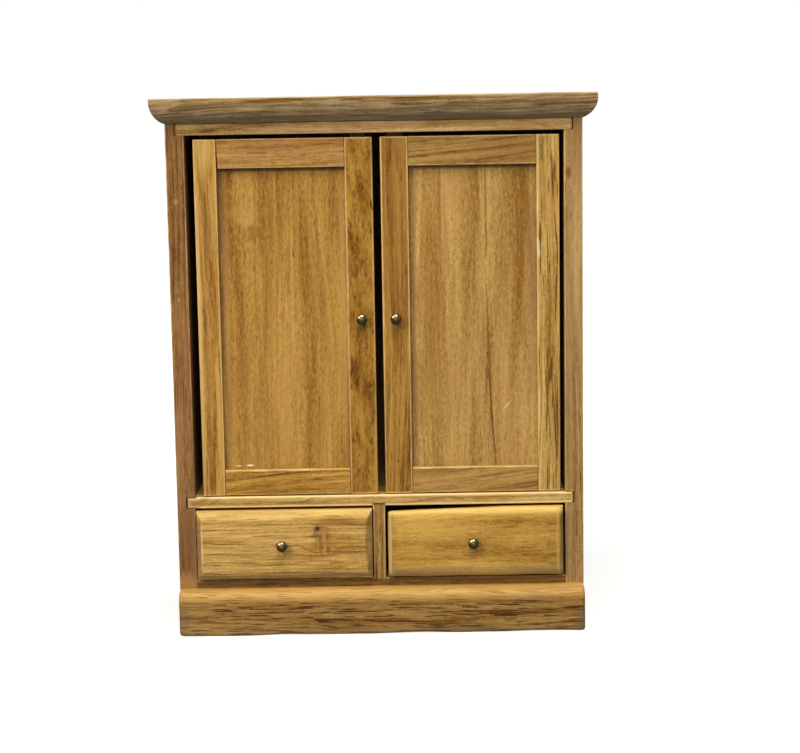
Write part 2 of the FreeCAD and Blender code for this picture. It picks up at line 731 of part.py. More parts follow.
def drawer_front(label, x, soft):
    """The inset front. Its field stands on a block, with a bevel on all four sides.

    The walls lie in rabbets behind its ends, and the base in a groove. A soft front has
    had its corners and the edges of its field sanded round.
    """
    z = "Dims.bottom_top + Dims.drawer_front_gap"
    body = new_body(label, x, f"{CARCASS_FRONT} - Dims.drawer_front_proud", z)
    size = ("Dims.drawer_front_width", "Dims.drawer_front_height")
    block = sketch_on(body, "block", "XZ_Plane", "-Dims.bevel_depth")
    rectangle(block, "0", "0", *size)
    pad(body, block, "Dims.drawer_front_thickness - Dims.bevel_depth", backwards=True)
    foot = sketch_on(body, "bevel_foot", "XZ_Plane", "-Dims.bevel_depth")
    rectangle(foot, "0", "0", *size)
    field = sketch_on(body, "field", "XZ_Plane")
    inner = [f"{length} - 2 * Dims.bevel_width" for length in size]
    rectangle(field, "Dims.bevel_width", "Dims.bevel_width", *inner)
    bevel = body.newObject("PartDesign::AdditiveLoft", f"{label}_bevel")
    bevel.Profile = foot
    bevel.Sections = [field]
    bevel.Ruled = True
    doc.recompute()
    if soft:
        foot_depth = value("Dims.bevel_depth")
        round_over(
            body,
            "Dims.corner_soften",
            lambda box: near(box.YMin, foot_depth) and box.YLength > 1,
        )
        round_over(
            body,
            "Dims.bevel_soften",
            lambda box: near(box.YMin, 0) and near(box.YMax, 0),
        )
    rear = "Dims.drawer_front_thickness"
    rabbets = sketch_on(body, "rabbets", "XY_Plane")
    for left in ("0", "Dims.drawer_front_width - Dims.drawer_wall"):
        corner = (left, f"{rear} - Dims.drawer_lap")
        rectangle(rabbets, *corner, "Dims.drawer_wall", "Dims.drawer_lap")
    cut(body, rabbets, backwards=True)
    groove = sketch_on(body, "groove", "YZ_Plane")
    low = f"Dims.drawer_base_rise - ({z} - {WALL_BOTTOM})"
    corner = (f"{rear} - Dims.drawer_groove", low)
    rectangle(groove, *corner, "Dims.drawer_groove", "Dims.drawer_base_thickness")
    cut(body, groove, backwards=True)
    hole = sketch_on(body, "knob_hole", "XZ_Plane")
    across = "Dims.drawer_front_width / 2 + Dims.drawer_knob_offset"
    circle(hole, across, "Dims.drawer_front_height / 2", "Dims.knob_shank_diameter")
    cut(body, hole, "Dims.knob_shank_length")
    return body


def drawer_wall(label, x, left):
    """A wall, grooved for the base and rabbeted at its rear end for the back."""
    size = ("Dims.drawer_wall", WALL_LENGTH, "Dims.drawer_wall_height")
    body = board(label, (x, f"{CARCASS_FRONT} + {WALL_FRONT}", WALL_BOTTOM), size)
    inner = "Dims.drawer_wall - Dims.drawer_groove" if left else "0"
    groove = sketch_on(body, "groove", "XZ_Plane")
    thick = "Dims.drawer_base_thickness"
    rectangle(groove, inner, "Dims.drawer_base_rise", "Dims.drawer_groove", thick)
    cut(body, groove)
    rabbet = sketch_on(body, "rabbet", "XY_Plane")
    start = f"{WALL_LENGTH} - Dims.drawer_wall"
    rectangle(rabbet, inner, start, "Dims.drawer_groove", "Dims.drawer_wall")
    cut(body, rabbet, backwards=True)
    return body


def drawer_back(label, x):
    """The back, which stands on the base between the walls."""
    y = f"{CARCASS_FRONT} + {BOARD_DEPTH} - Dims.drawer_stop_gap - Dims.drawer_wall"
    inset = "(Dims.drawer_wall - Dims.drawer_groove)"
    height = f"Dims.drawer_wall_height - Dims.drawer_back_drop - {BACK_BOTTOM}"
    size = (f"Dims.drawer_front_width - 2 * {inset}", "Dims.drawer_wall", height)
    return board(label, (f"{x} + {inset}", y, f"{WALL_BOTTOM} + {BACK_BOTTOM}"), size)


def drawer_base(label, x):
    """The base, in the grooves of the walls and the front, and under the back."""
    inset = "(Dims.drawer_wall - Dims.drawer_groove)"
    front = "(Dims.drawer_front_thickness - Dims.drawer_front_proud - Dims.drawer_groove)"
    size = (
        f"Dims.drawer_front_width - 2 * {inset}",
        f"{BOARD_DEPTH} - Dims.drawer_stop_gap - {front}",
        "Dims.drawer_base_thickness",
    )
    place = (
        f"{x} + {inset}",
        f"{CARCASS_FRONT} + {front}",
        f"{WALL_BOTTOM} + Dims.drawer_base_rise",
    )
    return board(label, place, size)


def drawer(name, opening_left, opening_right, soft):
    """A drawer in the middle of its opening."""
    x = f"(({opening_left} + {opening_right} - Dims.drawer_front_width) / 2)"
    right_wall = f"({x} + Dims.drawer_front_width - Dims.drawer_wall)"
    return [
        drawer_front(f"{name}_front", x, soft),
        drawer_wall(f"{name}_left_wall", x, True),
        drawer_wall(f"{name}_right_wall", right_wall, False),
        drawer_back(f"{name}_back", x),
        drawer_base(f"{name}_base", x),
        knob(
            f"{name}_knob",
            f"{x} + Dims.drawer_front_width / 2 + Dims.drawer_knob_offset",
            f"{CARCASS_FRONT} - Dims.drawer_front_proud",
            "Dims.bottom_top + Dims.drawer_front_gap + Dims.drawer_front_height / 2",
        ),
    ]


# ---------------------------------------------------------------- the armoire

pieces = [
    side("left_side", True),
    side("right_side", False),
    carcass_top(),
    tv_shelf(),
    bottom_board(),
    drawer_divider(),
    cornice(),
    plinth(),
    back_panel(),
    door_stop(),
    hinge_pin("left_upper_pin", LEFT_PIN, True),
    hinge_pin("left_lower_pin", LEFT_PIN, False),
    hinge_pin("right_upper_pin", RIGHT_PIN, True),
    hinge_pin("right_lower_pin", RIGHT_PIN, False),
]
pieces += door("left_door", True)
pieces += door("right_door", False)
pieces += drawer("left_drawer", LEFT_INSIDE, DIVIDER_LEFT, soft=False)
pieces += drawer("right_drawer", DIVIDER_RIGHT, RIGHT_INSIDE, soft=True)

doc.recompute()
for item in doc.Objects:
    if "Invalid" in item.State or "Error" in item.State:
        raise RuntimeError(f"{item.Name} failed: {item.State}")
for piece in pieces:
    solids = 2 if piece.Label == "door_stop" else 1
    if piece.Shape.isNull() or not piece.Shape.isValid() or len(piece.Shape.Solids) != solids:
        raise RuntimeError(f"{piece.Label} is not {solids} valid solids")

os.makedirs("parts", exist_ok=True)
for piece in pieces:
    piece.Shape.exportStep(os.path.join("parts", f"{piece.Label}.step"))
print(f"{len(pieces)} pieces written")
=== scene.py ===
# %% [markdown]
# # A television armoire in oak, at one twelfth
# The real thing is a doll's-house cabinet, 152 mm high. Its carcass and doors are small
# boards of oak, sanded by hand and given a thin satin lacquer, and its knobs are turned
# brass. The construction comes ready in model.glb, in metres: this lesson dresses it.
# Boards that are right as they stand keep their mesh and get a finish, and the moulded
# and turned pieces are made anew as surfaces.

import math

import bpy
import numpy as np
from mathutils import Matrix, Vector


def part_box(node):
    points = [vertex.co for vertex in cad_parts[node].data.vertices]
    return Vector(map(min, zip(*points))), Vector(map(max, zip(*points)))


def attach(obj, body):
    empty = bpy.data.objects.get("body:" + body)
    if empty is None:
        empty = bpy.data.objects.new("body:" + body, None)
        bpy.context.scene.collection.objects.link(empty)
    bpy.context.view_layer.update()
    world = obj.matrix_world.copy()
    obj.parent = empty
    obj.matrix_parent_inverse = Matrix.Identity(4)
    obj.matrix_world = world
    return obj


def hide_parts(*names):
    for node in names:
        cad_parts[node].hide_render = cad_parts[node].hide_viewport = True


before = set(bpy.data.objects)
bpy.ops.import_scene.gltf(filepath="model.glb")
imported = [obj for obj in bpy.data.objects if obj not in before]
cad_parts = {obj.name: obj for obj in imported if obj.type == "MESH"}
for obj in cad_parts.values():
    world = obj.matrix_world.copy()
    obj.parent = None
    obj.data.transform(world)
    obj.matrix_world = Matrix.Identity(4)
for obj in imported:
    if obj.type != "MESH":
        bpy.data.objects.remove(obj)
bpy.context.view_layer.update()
MM = 0.001

# %% [markdown]
# ## The camera
# A miniature is seen best from close by through a long lens, a little above its middle
# and looking slightly down. A Track To constraint would aim the camera, but couldn't also
# let it lean a degree, as one in the hand does. So its three axes are worked out from how
# far it is turned, and they are the columns of its rotation.

# %% Camera
MIDDLE = Vector((0, 0, 0.075))
EYE = Vector((7.6, -543.9, 150.0)) * MM
PITCH_DOWN = math.radians(8.30)
YAW = math.radians(-0.15)
ROLL = math.radians(-0.95)
LENS_MM = 84.15


def camera_turn(pitch, yaw, roll):
    """Forward is yaw round the vertical and then pitch down. Right is level, and up is
    right crossed with forward. The roll turns all of it about the line of sight."""
    forward = Vector(
        (math.sin(yaw) * math.cos(pitch), math.cos(yaw) * math.cos(pitch), -math.sin(pitch))
    )
    right = Vector((math.cos(yaw), -math.sin(yaw), 0))
    axes = Matrix((right, right.cross(forward), -forward)).transposed()
    return axes.to_4x4() @ Matrix.Rotation(roll, 4, "Z")


camera = bpy.data.objects.new("camera", bpy.data.cameras.new("camera"))
camera.data.lens = LENS_MM
camera.data.clip_start = 10 * MM
camera.matrix_world = Matrix.Translation(EYE) @ camera_turn(PITCH_DOWN, YAW, ROLL)
bpy.context.scene.collection.objects.link(camera)
bpy.context.scene.camera = camera
print("camera", round((EYE - MIDDLE).length / MM), "mm from the armoire")

# %% [markdown]
# ## Colours and nodes
# A finisher names a colour as it looks on a screen, so colours are written as sRGB hex
# codes. A shader counts light, so one function undoes the sRGB curve. The second function
# adds a shader node with its settings and links in one call.

# %% Helpers for colours and nodes


def srgb(code):
    """Hex code to linear light: each channel over 255, then the sRGB curve undone."""
    level = np.array([int(code[i : i + 2], 16) for i in (0, 2, 4)]) / 255
    linear = np.where(level <= 0.04045, level / 12.92, ((level + 0.055) / 1.055) ** 2.4)
    return (*linear.tolist(), 1.0)


def add(tree, kind, sockets=None, **settings):
    """A node with its properties, and its sockets set to values or linked to outputs."""
    node = tree.nodes.new(f"ShaderNode{kind}")
    for key, value in settings.items():
        setattr(node, key, value)
    for key, value in (sockets or {}).items():
        if isinstance(value, bpy.types.Node):
            value = next(socket for socket in value.outputs if socket.enabled)
        if isinstance(value, bpy.types.NodeSocket):
            tree.links.new(value, node.inputs[key])
        else:
            node.inputs[key].default_value = value
    return node


def new_material(name):
    material = bpy.data.materials.new(name)
    material.use_nodes = True
    material.node_tree.nodes.clear()
    return material, material.node_tree


print("oak mid tone in linear light:", [round(c, 3) for c in srgb("ab7e3a")[:3]])

# %% [markdown]
# ## Floor and light
# The stage is a plain pale sweep with soft light. A sheet that curves up behind could
# make it, but one flat sheet does, because the world behind it is as white. The floor
# reflects like pale paper, and only what the camera sees of it gets a little light added,
# more of it further back, which lifts paper to white and keeps the shadow. The world is a
# dim even light for the wood, and plain white where the camera or a mirror-like surface
# looks at it.

# %% Floor and world
AMBIENT = 0.22
WHITE = (1.0, 1.0, 1.0, 1.0)
SWEEP_START = 0.1
SWEEP_END = 0.45
NEAR_LIFT = 0.68
FLOOR_HALF = 6.0
FLOOR_LEVEL = -0.01 * MM


def floor_paper():
    """Paper whose added light grows with the distance from the middle of the floor."""
    material, tree = new_material("pale_sweep_paper")
    paper = add(tree, "BsdfDiffuse", {"Color": srgb("a3a2a0")})
    place = add(tree, "TexCoord").outputs["Object"]
    away = add(tree, "VectorMath", {0: place}, operation="LENGTH").outputs["Value"]
    reach = {"From Min": SWEEP_START, "From Max": SWEEP_END, "To Min": NEAR_LIFT, "To Max": 1.0}
    lift = add(tree, "MapRange", {"Value": away, **reach})
    seen = add(tree, "LightPath").outputs["Is Camera Ray"]
    strength = add(tree, "Math", {0: seen, 1: lift}, operation="MULTIPLY")
    glow = add(tree, "Emission", {"Color": WHITE, "Strength": strength})
    both = add(tree, "AddShader", {0: paper, 1: glow})
    add(tree, "OutputMaterial", {"Surface": both})
    return material


def white_world():
    world = bpy.data.worlds.new("white_studio")
    world.use_nodes = True
    tree = world.node_tree
    tree.nodes.clear()
    path = add(tree, "LightPath").outputs
    bounced = {0: path["Is Glossy Ray"], 1: path["Is Transmission Ray"]}
    mirror = add(tree, "Math", bounced, operation="MAXIMUM")
    seen = add(tree, "Math", {0: path["Is Camera Ray"], 1: mirror}, operation="MAXIMUM")
    strength = add(tree, "Mix", {"Factor": seen, "A": AMBIENT, "B": 1.0})
    light = add(tree, "Background", {"Color": WHITE, "Strength": strength})
    add(tree, "OutputWorld", {"Surface": light})
    return world


sheet_corners = [
    (across * FLOOR_HALF, back * FLOOR_HALF, FLOOR_LEVEL)
    for across, back in ((-1, -1), (1, -1), (1, 1), (-1, 1))
]
floor = bpy.data.objects.new("floor", bpy.data.meshes.new("floor"))
floor.data.from_pydata(sheet_corners, [], [(0, 1, 2, 3)])
floor.data.materials.append(floor_paper())
bpy.context.scene.collection.objects.link(floor)
bpy.context.scene.world = white_world()
print("floor", 2 * FLOOR_HALF, "m across")

# %% [markdown]
# ### Softboxes
# One softbox on the left throws the knobs' shadows, one high in front puts a dark line
# under every rail and a shine on every upper edge, and a weak one on the other side
# lights the right and the back. A lamp's share of the light on a board that faces it
# squarely is its watts over pi squared times the distance squared, and the shares add up
# to about one, so that a colour renders about as it is written.

# %% Softboxes
WARM_LIGHT = "fff9f0"
COOL_LIGHT = "f6f8ff"
LIT_SPOT = Vector((0, -0.02, 0.075))


def softbox(name, place, width, watts, colour):
    """A square lamp at a place in metres, turned to the front of the armoire."""
    lamp = bpy.data.lights.new(name, "AREA")
    lamp.size = width
    lamp.energy = watts
    lamp.color = srgb(colour)[:3]
    box = bpy.data.objects.new(name, lamp)
    box.location = place
    box.rotation_mode = "QUATERNION"
    box.rotation_quaternion = (LIT_SPOT - box.location).to_track_quat("-Z", "Y")
    bpy.context.scene.collection.objects.link(box)


softbox("left_softbox", (-0.56, -0.58, 0.58), width=0.26, watts=5.6, colour=WARM_LIGHT)
softbox("high_softbox", (0.05, -0.38, 0.94), width=0.42, watts=8.2, colour=WARM_LIGHT)
softbox("far_softbox", (0.75, 0.70, 0.55), width=0.9, watts=6.0, colour=COOL_LIGHT)
bpy.context.scene.view_settings.view_transform = "Standard"

# %% [markdown]
# ## Oak
# Oak under a thin satin lacquer, sawn and sanded. What the eye reads is, from large to
# small: slow changes of tone, streaks a millimetre or two wide that run along the grain,
# finer lines, short flecks, dark pore dashes, darker end grain that drinks the finish,
# and pale arrises where the sandpaper cut through to clean wood; that pale colour is also
# a painted highlight, for the light that the arrises catch. A picture wrapped round a
# board would break at its edges and repeat, so the wood is a solid pattern of noise.
#
# How a board looks depends on how it was sawn from the trunk, which is its figure, and on
# its colour. A figure is three layers of noise and one of pores, each with the width and
# the length of one dark and one pale patch together, in millimetres. A layer has a
# strength, and the pores have how crowded and how black they are. All boards share one
# more layer, a stipple as fine as the cut ends of single fibres. The finest pores of real
# oak are a tenth of a millimetre wide, which is too fine to show, so they are drawn about
# twice as coarse.

# %% Figures
STIPPLE = (0.5, 0.7, 0.5)
FIGURES = {
    # streaks, lines, flecks and pores
    "quiet": ((4.6, 120, 1.2), (0.9, 34, 1.0), (0.50, 3.0, 0.7), (0.42, 9.0, 0.60, 0.35)),
    "fine": ((6.0, 80, 1.2), (1.0, 24, 0.7), (0.45, 1.6, 0.7), (0.40, 2.6, 0.50, 0.25)),
    "lined": ((3.0, 90, 1.1), (0.8, 40, 1.2), (0.50, 3.0, 0.7), (0.42, 12.0, 0.70, 0.50)),
    "mottled": ((4.6, 14, 1.7), (1.4, 7, 1.0), (0.50, 1.4, 1.0), (0.50, 2.2, 0.60, 0.60)),
    "streaky": ((2.6, 110, 1.5), (0.8, 44, 1.2), (0.50, 3.0, 0.7), (0.42, 14.0, 0.70, 0.50)),
    "bold": ((2.2, 90, 1.6), (0.8, 40, 1.3), (0.50, 3.0, 0.7), (0.46, 18.0, 1.00, 0.75)),
    "coarse": ((1.8, 28, 1.3), (0.8, 14, 1.1), (0.45, 3.0, 0.7), (0.34, 7.5, 1.25, 0.90)),
    "weathered": ((2.6, 70, 1.2), (0.7, 36, 1.4), (0.45, 5.0, 0.8), (0.40, 14.0, 0.95, 0.55)),
    "brushed": ((6.0, 30, 1.5), (1.1, 20, 0.6), (0.45, 2.5, 0.7), (0.42, 7.0, 0.40, 0.25)),
    "ruled": ((4.0, 60, 1.0), (0.7, 28, 1.2), (0.45, 4.0, 0.6), (0.38, 12.0, 0.80, 0.50)),
}
# The shares of a board's own colour, in linear light, in its dark and in its pale wood.
# Dark wood takes more of the warm stain, so it loses most in blue.
DARK_WOOD = (0.56, 0.44, 0.16)
PALE_WOOD = (1.44, 1.56, 1.85)
ROSY_WOOD = (0.92, 0.74, 0.84)
PORE_INK = "40240a"
# The pale colour of the arrises: clean wood, and a painted highlight for the light they catch.
CLEAN_WOOD_AND_HIGHLIGHT = "f0d090"
END_GRAIN = "6e4c28"
print("figures:", ", ".join(FIGURES))

# %% [markdown]
# ### Where a point is in the board
# The pattern is in millimetres and runs on over an edge, as real grain does. An Empty in
# each board could carry the pattern, but an exported model loses it. A Mapping node keeps
# it: it turns the object's own coordinates until they run across the board, through it
# and along the grain, and centres them on the board. The same place tells how far the
# nearest arris is: of the distances to the three pairs of faces, the middle one.

# %% Places in a board
GRAIN_TURNS = {
    "z": Matrix.Identity(3),
    "x": Matrix(((0, 0, 1), (0, -1, 0), (1, 0, 0))),
    "y": Matrix(((1, 0, 0), (0, 0, -1), (0, 1, 0))),
}


def board_place(tree, corners, grain):
    """Millimetres from the board's middle, and the board's middle and half its size, all
    turned so that the grain is the third axis."""
    turn = GRAIN_TURNS[grain]
    low, high = (turn @ (Vector(corner) / MM) for corner in corners)
    middle = (low + high) / 2
    place = add(
        tree,
        "Mapping",
        {
            "Vector": add(tree, "TexCoord").outputs["Object"],
            "Location": -middle,
            "Rotation": turn.to_euler(),
            "Scale": (1 / MM,) * 3,
        },
    )
    return place, middle, Vector([abs(side) / 2 for side in high - low])


def arris_distance(tree, place, half):
    """Millimetres to the nearest arris of the box: the median of the face distances."""
    beyond = add(tree, "VectorMath", {0: place}, operation="ABSOLUTE")
    inside = add(tree, "VectorMath", {0: half, 1: beyond}, operation="SUBTRACT")
    to_face = add(tree, "SeparateXYZ", {0: inside}).outputs
    lesser = add(tree, "Math", {0: to_face[0], 1: to_face[1]}, operation="MINIMUM")
    greater = add(tree, "Math", {0: to_face[0], 1: to_face[1]}, operation="MAXIMUM")
    capped = add(tree, "Math", {0: greater, 1: to_face[2]}, operation="MINIMUM")
    return add(tree, "Math", {0: lesser, 1: capped}, operation="MAXIMUM")


print("grain can run along", ", ".join(GRAIN_TURNS))

# %% [markdown]
# ### Fibres
# A slow noise pushes the places sideways, so that the grain wanders. Noise that is
# stretched along the fibres gives the layers of the figure, and they add up to how pale
# the wood is. A colour ramp could hold its dark and its pale wood. A mix of two colours
# that are both worked out from one hex code leaves one colour to choose for a board.

# %% Fibres
WANDER = 4.0
SLOW_PATCH = (14, 60)
TRUNK_STEP = (37.1, 11.3, 83.7)
LAYER_DETAIL = 1.5
DARKEST, PALEST = 0.12, 0.88


def grain_noise(tree, place, wide, long, detail=0.0):
    """Soft noise whose patches are about so wide and so long, in millimetres."""
    unit = {0: place, 1: (1 / wide, 1 / wide, 1 / long)}
    stretched = add(tree, "VectorMath", unit, operation="MULTIPLY")
    return add(tree, "TexNoise", {"Vector": stretched, "Scale": 1.0, "Detail": detail})


def fibres(tree, place, cut, slope):
    """Places that follow the grain: moved to this cut of the trunk and tilted by the
    slope, and the same places pushed sideways by slow noise."""
    in_trunk = {"Location": [step * cut for step in TRUNK_STEP], "Rotation": (0, -slope, 0)}
    straight = add(tree, "Mapping", {"Vector": place, **in_trunk})
    slow = grain_noise(tree, straight, *SLOW_PATCH).outputs["Color"]
    push = add(tree, "VectorMath", {0: slow, 1: (0.5,) * 3}, operation="SUBTRACT")
    sideways = {0: push, 1: (WANDER, WANDER, 0.0), 2: straight}
    return straight, add(tree, "VectorMath", sideways, operation="MULTIPLY_ADD")


def heaped_layers(tree, fibre, layers):
    """How pale the wood is: a half, plus each layer's noise less a half times the layer's
    strength. The noise of the last and shortest layer, the flecks, is given back too."""
    paleness = 0.5
    for wide, long, strength in (STIPPLE, *layers):
        fleck = grain_noise(tree, fibre, wide, long, LAYER_DETAIL)
        offset = add(tree, "Math", {0: fleck, 1: 0.5}, operation="SUBTRACT")
        heaped = {0: offset, 1: strength, 2: paleness}
        paleness = add(tree, "Math", heaped, operation="MULTIPLY_ADD")
    return paleness, fleck


def tinted(colour, shares):
    """A hex code in linear light, each channel times its share."""
    return (*np.clip(np.array(srgb(colour)[:3]) * shares, 0, 1).tolist(), 1.0)


def bare_wood(tree, paleness, colour):
    """The board's own colour, mixed from its dark and its pale wood by the paleness."""
    share = add(tree, "MapRange", {"Value": paleness, "From Min": DARKEST, "From Max": PALEST})
    woods = {"Factor": share, "A": tinted(colour, DARK_WOOD), "B": tinted(colour, PALE_WOOD)}
    return add(tree, "Mix", woods, data_type="RGBA")


print("the grain wanders by up to", WANDER / 2, "mm")

# %% [markdown]
# ### Coats
# Over the bare wood come coats of other colours, and each has a mask of its own: rosier
# stretches, inked pores, clean wood on the sanded arrises, which is also a painted
# highlight, end grain, and a line of glue and finish where the board meets its
# neighbours. One mask function for each keeps them apart, so that one can be changed and
# looked at without the others.

# %% Masks of the coats
ROSY_PATCH = (9, 45, 2.0)
ROSY_FROM, ROSY_TO = 0.45, 0.70
PORES_SHUN_PALE = 0.2
SPARSE_LIMIT = 0.70
CROWDED_DROP = 0.16
PORE_EDGE = 0.05
ARRIS_RAGGED = 0.8
END_GRAIN_COVER = 0.8
JOINT_LINE_FROM, JOINT_LINE_TO = 0.7, 0.3


def rosy_mask(tree, straight, strength):
    """The upper part of a slow noise, up to the strength."""
    tones = grain_noise(tree, straight, *ROSY_PATCH)
    rosiness = {"From Min": ROSY_FROM, "From Max": ROSY_TO, "To Max": strength}
    return add(tree, "MapRange", {"Value": tones, **rosiness})


def pore_mask(tree, fibre, paleness, wide, long, crowding):
    """The peaks of a stretched noise. Paler wood lowers the peaks, and the more crowded
    the pores are, the lower the limit over which a peak is a pore."""
    dashes = grain_noise(tree, fibre, wide, long)
    shunned = {0: paleness, 1: -PORES_SHUN_PALE, 2: dashes}
    crowd = add(tree, "Math", shunned, operation="MULTIPLY_ADD")
    limit = SPARSE_LIMIT - CROWDED_DROP * crowding
    return add(tree, "MapRange", {"Value": crowd, "From Min": limit, "From Max": limit + PORE_EDGE})


def rubbed_and_highlight_mask(tree, place, half, fleck, width, strength):
    """Clean wood and a painted highlight along the arrises: the strength within about the
    width of an arris, with an edge that flecks roughen.
    """
    arris = arris_distance(tree, place, half)
    ragged = add(tree, "Math", {0: fleck, 1: ARRIS_RAGGED, 2: arris}, operation="MULTIPLY_ADD")
    usual = ARRIS_RAGGED / 2
    rubbed = {"From Min": usual + width, "From Max": usual + width / 3, "To Max": strength}
    return add(tree, "MapRange", {"Value": ragged, **rubbed})


def end_grain_mask(tree, grain):
    """How squarely the surface's own normal points along the grain, either way."""
    facing = add(tree, "TexCoord").outputs["Normal"]
    along = GRAIN_TURNS[grain].inverted() @ Vector((0, 0, 1))
    endwise = add(tree, "VectorMath", {0: facing, 1: along}, operation="DOT_PRODUCT")
    faced = add(tree, "Math", {0: endwise.outputs["Value"]}, operation="ABSOLUTE")
    return add(tree, "Math", {0: faced, 1: END_GRAIN_COVER}, operation="MULTIPLY")


def joint_mask(tree, place, half, strength):
    """The last fraction of a millimetre at both ends of the board."""
    reach = add(tree, "VectorMath", {0: place}, operation="ABSOLUTE")
    to_end = add(tree, "SeparateXYZ", {0: reach}).outputs["Z"]
    start, full = half.z - JOINT_LINE_FROM, half.z - JOINT_LINE_TO
    line = {"From Min": start, "From Max": full, "To Max": strength}
    return add(tree, "MapRange", {"Value": to_end, **line})


print("joint lines start", JOINT_LINE_FROM, "mm from a board's end")

# %% [markdown]
# ### Marks
# Marks are small ellipses of another colour on the front of a board, such as a knot, a
# chip or a stain, with a rim that the figure makes ragged. They could be painted on the
# mesh, but that would need thousands more points. Wear and stain go only skin deep, so a
# mark ends a little way behind the front, but on a moulding it follows the worked edge
# all the way round.

# %% Mask of a mark
SKIN_DEEP = 1.5
BEVEL_DEEP = 4.0
ALL_ROUND = 400.0


def mark_mask(tree, place, paleness, spot, size, tilt, strength):
    """The strength inside an ellipsoid round a spot on the board's front and nought
    outside: the length of the place in the ellipsoid's own units. The size is its width,
    its depth behind the front and its length. The figure makes the rim ragged, and the
    more so the longer it lies along the grain."""
    wide, deep, long = size
    ellipsoid = {
        "Vector": place,
        "Location": spot,
        "Rotation": (0, math.radians(tilt), 0),
        "Scale": (wide / 2, deep, long / 2),
    }
    unit = add(tree, "Mapping", ellipsoid, vector_type="TEXTURE")
    reach = add(tree, "VectorMath", {0: unit}, operation="LENGTH").outputs["Value"]
    rough = min(1.0, long / wide)
    ragged = add(tree, "Math", {0: paleness, 1: rough, 2: reach}, operation="MULTIPLY_ADD")
    rim = {"From Min": 1.0 + rough / 2, "From Max": 0.5 + rough / 2, "To Max": strength}
    return add(tree, "MapRange", {"Value": ragged, **rim})


print("a mark goes", SKIN_DEEP, "mm deep on a board and", BEVEL_DEEP, "mm on a bevel")

# %% [markdown]
# ### The finish itself
# The coats are mixed over the bare wood one after the other, and the marks come last.
# Lacquer is a thin gloss over all of it, duller in the pores, where it sinks in. A clear
# coat of its own would shine twice, so the wood's own gloss stands for it.

# %% Oak
LACQUER_IOR = 1.5
LACQUER_GLOSS = 0.2
SATIN, SUNK_IN = 0.40, 0.75
PORE_DEPTH = 0.8
RELIEF = 0.1 * MM
RELIEF_STRENGTH = 0.6


def lacquer(tree, wood, pores, fleck):
    """Satin lacquer that the flecks make uneven, and that lies lower in the pores."""
    relief = add(tree, "Math", {0: pores, 1: -PORE_DEPTH, 2: fleck}, operation="MULTIPLY_ADD")
    uneven = {"Height": relief, "Strength": RELIEF_STRENGTH, "Distance": RELIEF}
    gloss = {
        "Base Color": wood,
        "Roughness": add(tree, "MapRange", {"Value": pores, "To Min": SATIN, "To Max": SUNK_IN}),
        "IOR": LACQUER_IOR,
        "Specular IOR Level": LACQUER_GLOSS,
        "Normal": add(tree, "Bump", uneven),
    }
    add(tree, "OutputMaterial", {"Surface": add(tree, "BsdfPrincipled", gloss)})


def oak(
    name, corners, grain, figure, colour, cut, slope=0, rosy=0.5, wear_and_highlight=(0.35, 0.5), joint=0.0,
    marks=(), deep=SKIN_DEEP,
):
    """Lacquered oak for the board that fills the box between two corners. Marks are given
    as x, z, width, length, tilt, colour and strength, at places on the armoire, and all
    reach as deep behind the front."""
    material, tree = new_material(name)
    place, middle, half = board_place(tree, corners, grain)
    straight, fibre = fibres(tree, place, cut, math.radians(slope))
    *layers, (*dash, ink) = FIGURES[figure]
    paleness, fleck = heaped_layers(tree, fibre, layers)
    pores = pore_mask(tree, fibre, paleness, *dash)
    inked = add(tree, "Math", {0: pores, 1: ink}, operation="MULTIPLY")
    coats = [
        (rosy_mask(tree, straight, rosy), tinted(colour, ROSY_WOOD)),
        (inked, srgb(PORE_INK)),
        # the pale arrises: worn clean wood, and a painted highlight
        (rubbed_and_highlight_mask(tree, place, half, fleck, *wear_and_highlight), srgb(CLEAN_WOOD_AND_HIGHLIGHT)),
        (end_grain_mask(tree, grain), srgb(END_GRAIN)),
    ]
    if joint:
        coats.append((joint_mask(tree, place, half, joint), srgb(PORE_INK)))
    front = corners[0][1] / MM
    for x, z, wide, long, tilt, tone, strength in marks:
        spot = GRAIN_TURNS[grain] @ Vector((x, front, z)) - middle
        mask = mark_mask(tree, place, paleness, spot, (wide, deep, long), tilt, strength)
        coats.append((mask, srgb(tone)))
    wood = bare_wood(tree, paleness, colour)
    for mask, tone in coats:
        wood = add(tree, "Mix", {"Factor": mask, "A": wood, "B": tone}, data_type="RGBA")
    lacquer(tree, wood, pores, fleck)
    return material


print("oak reads object coordinates in millimetres")
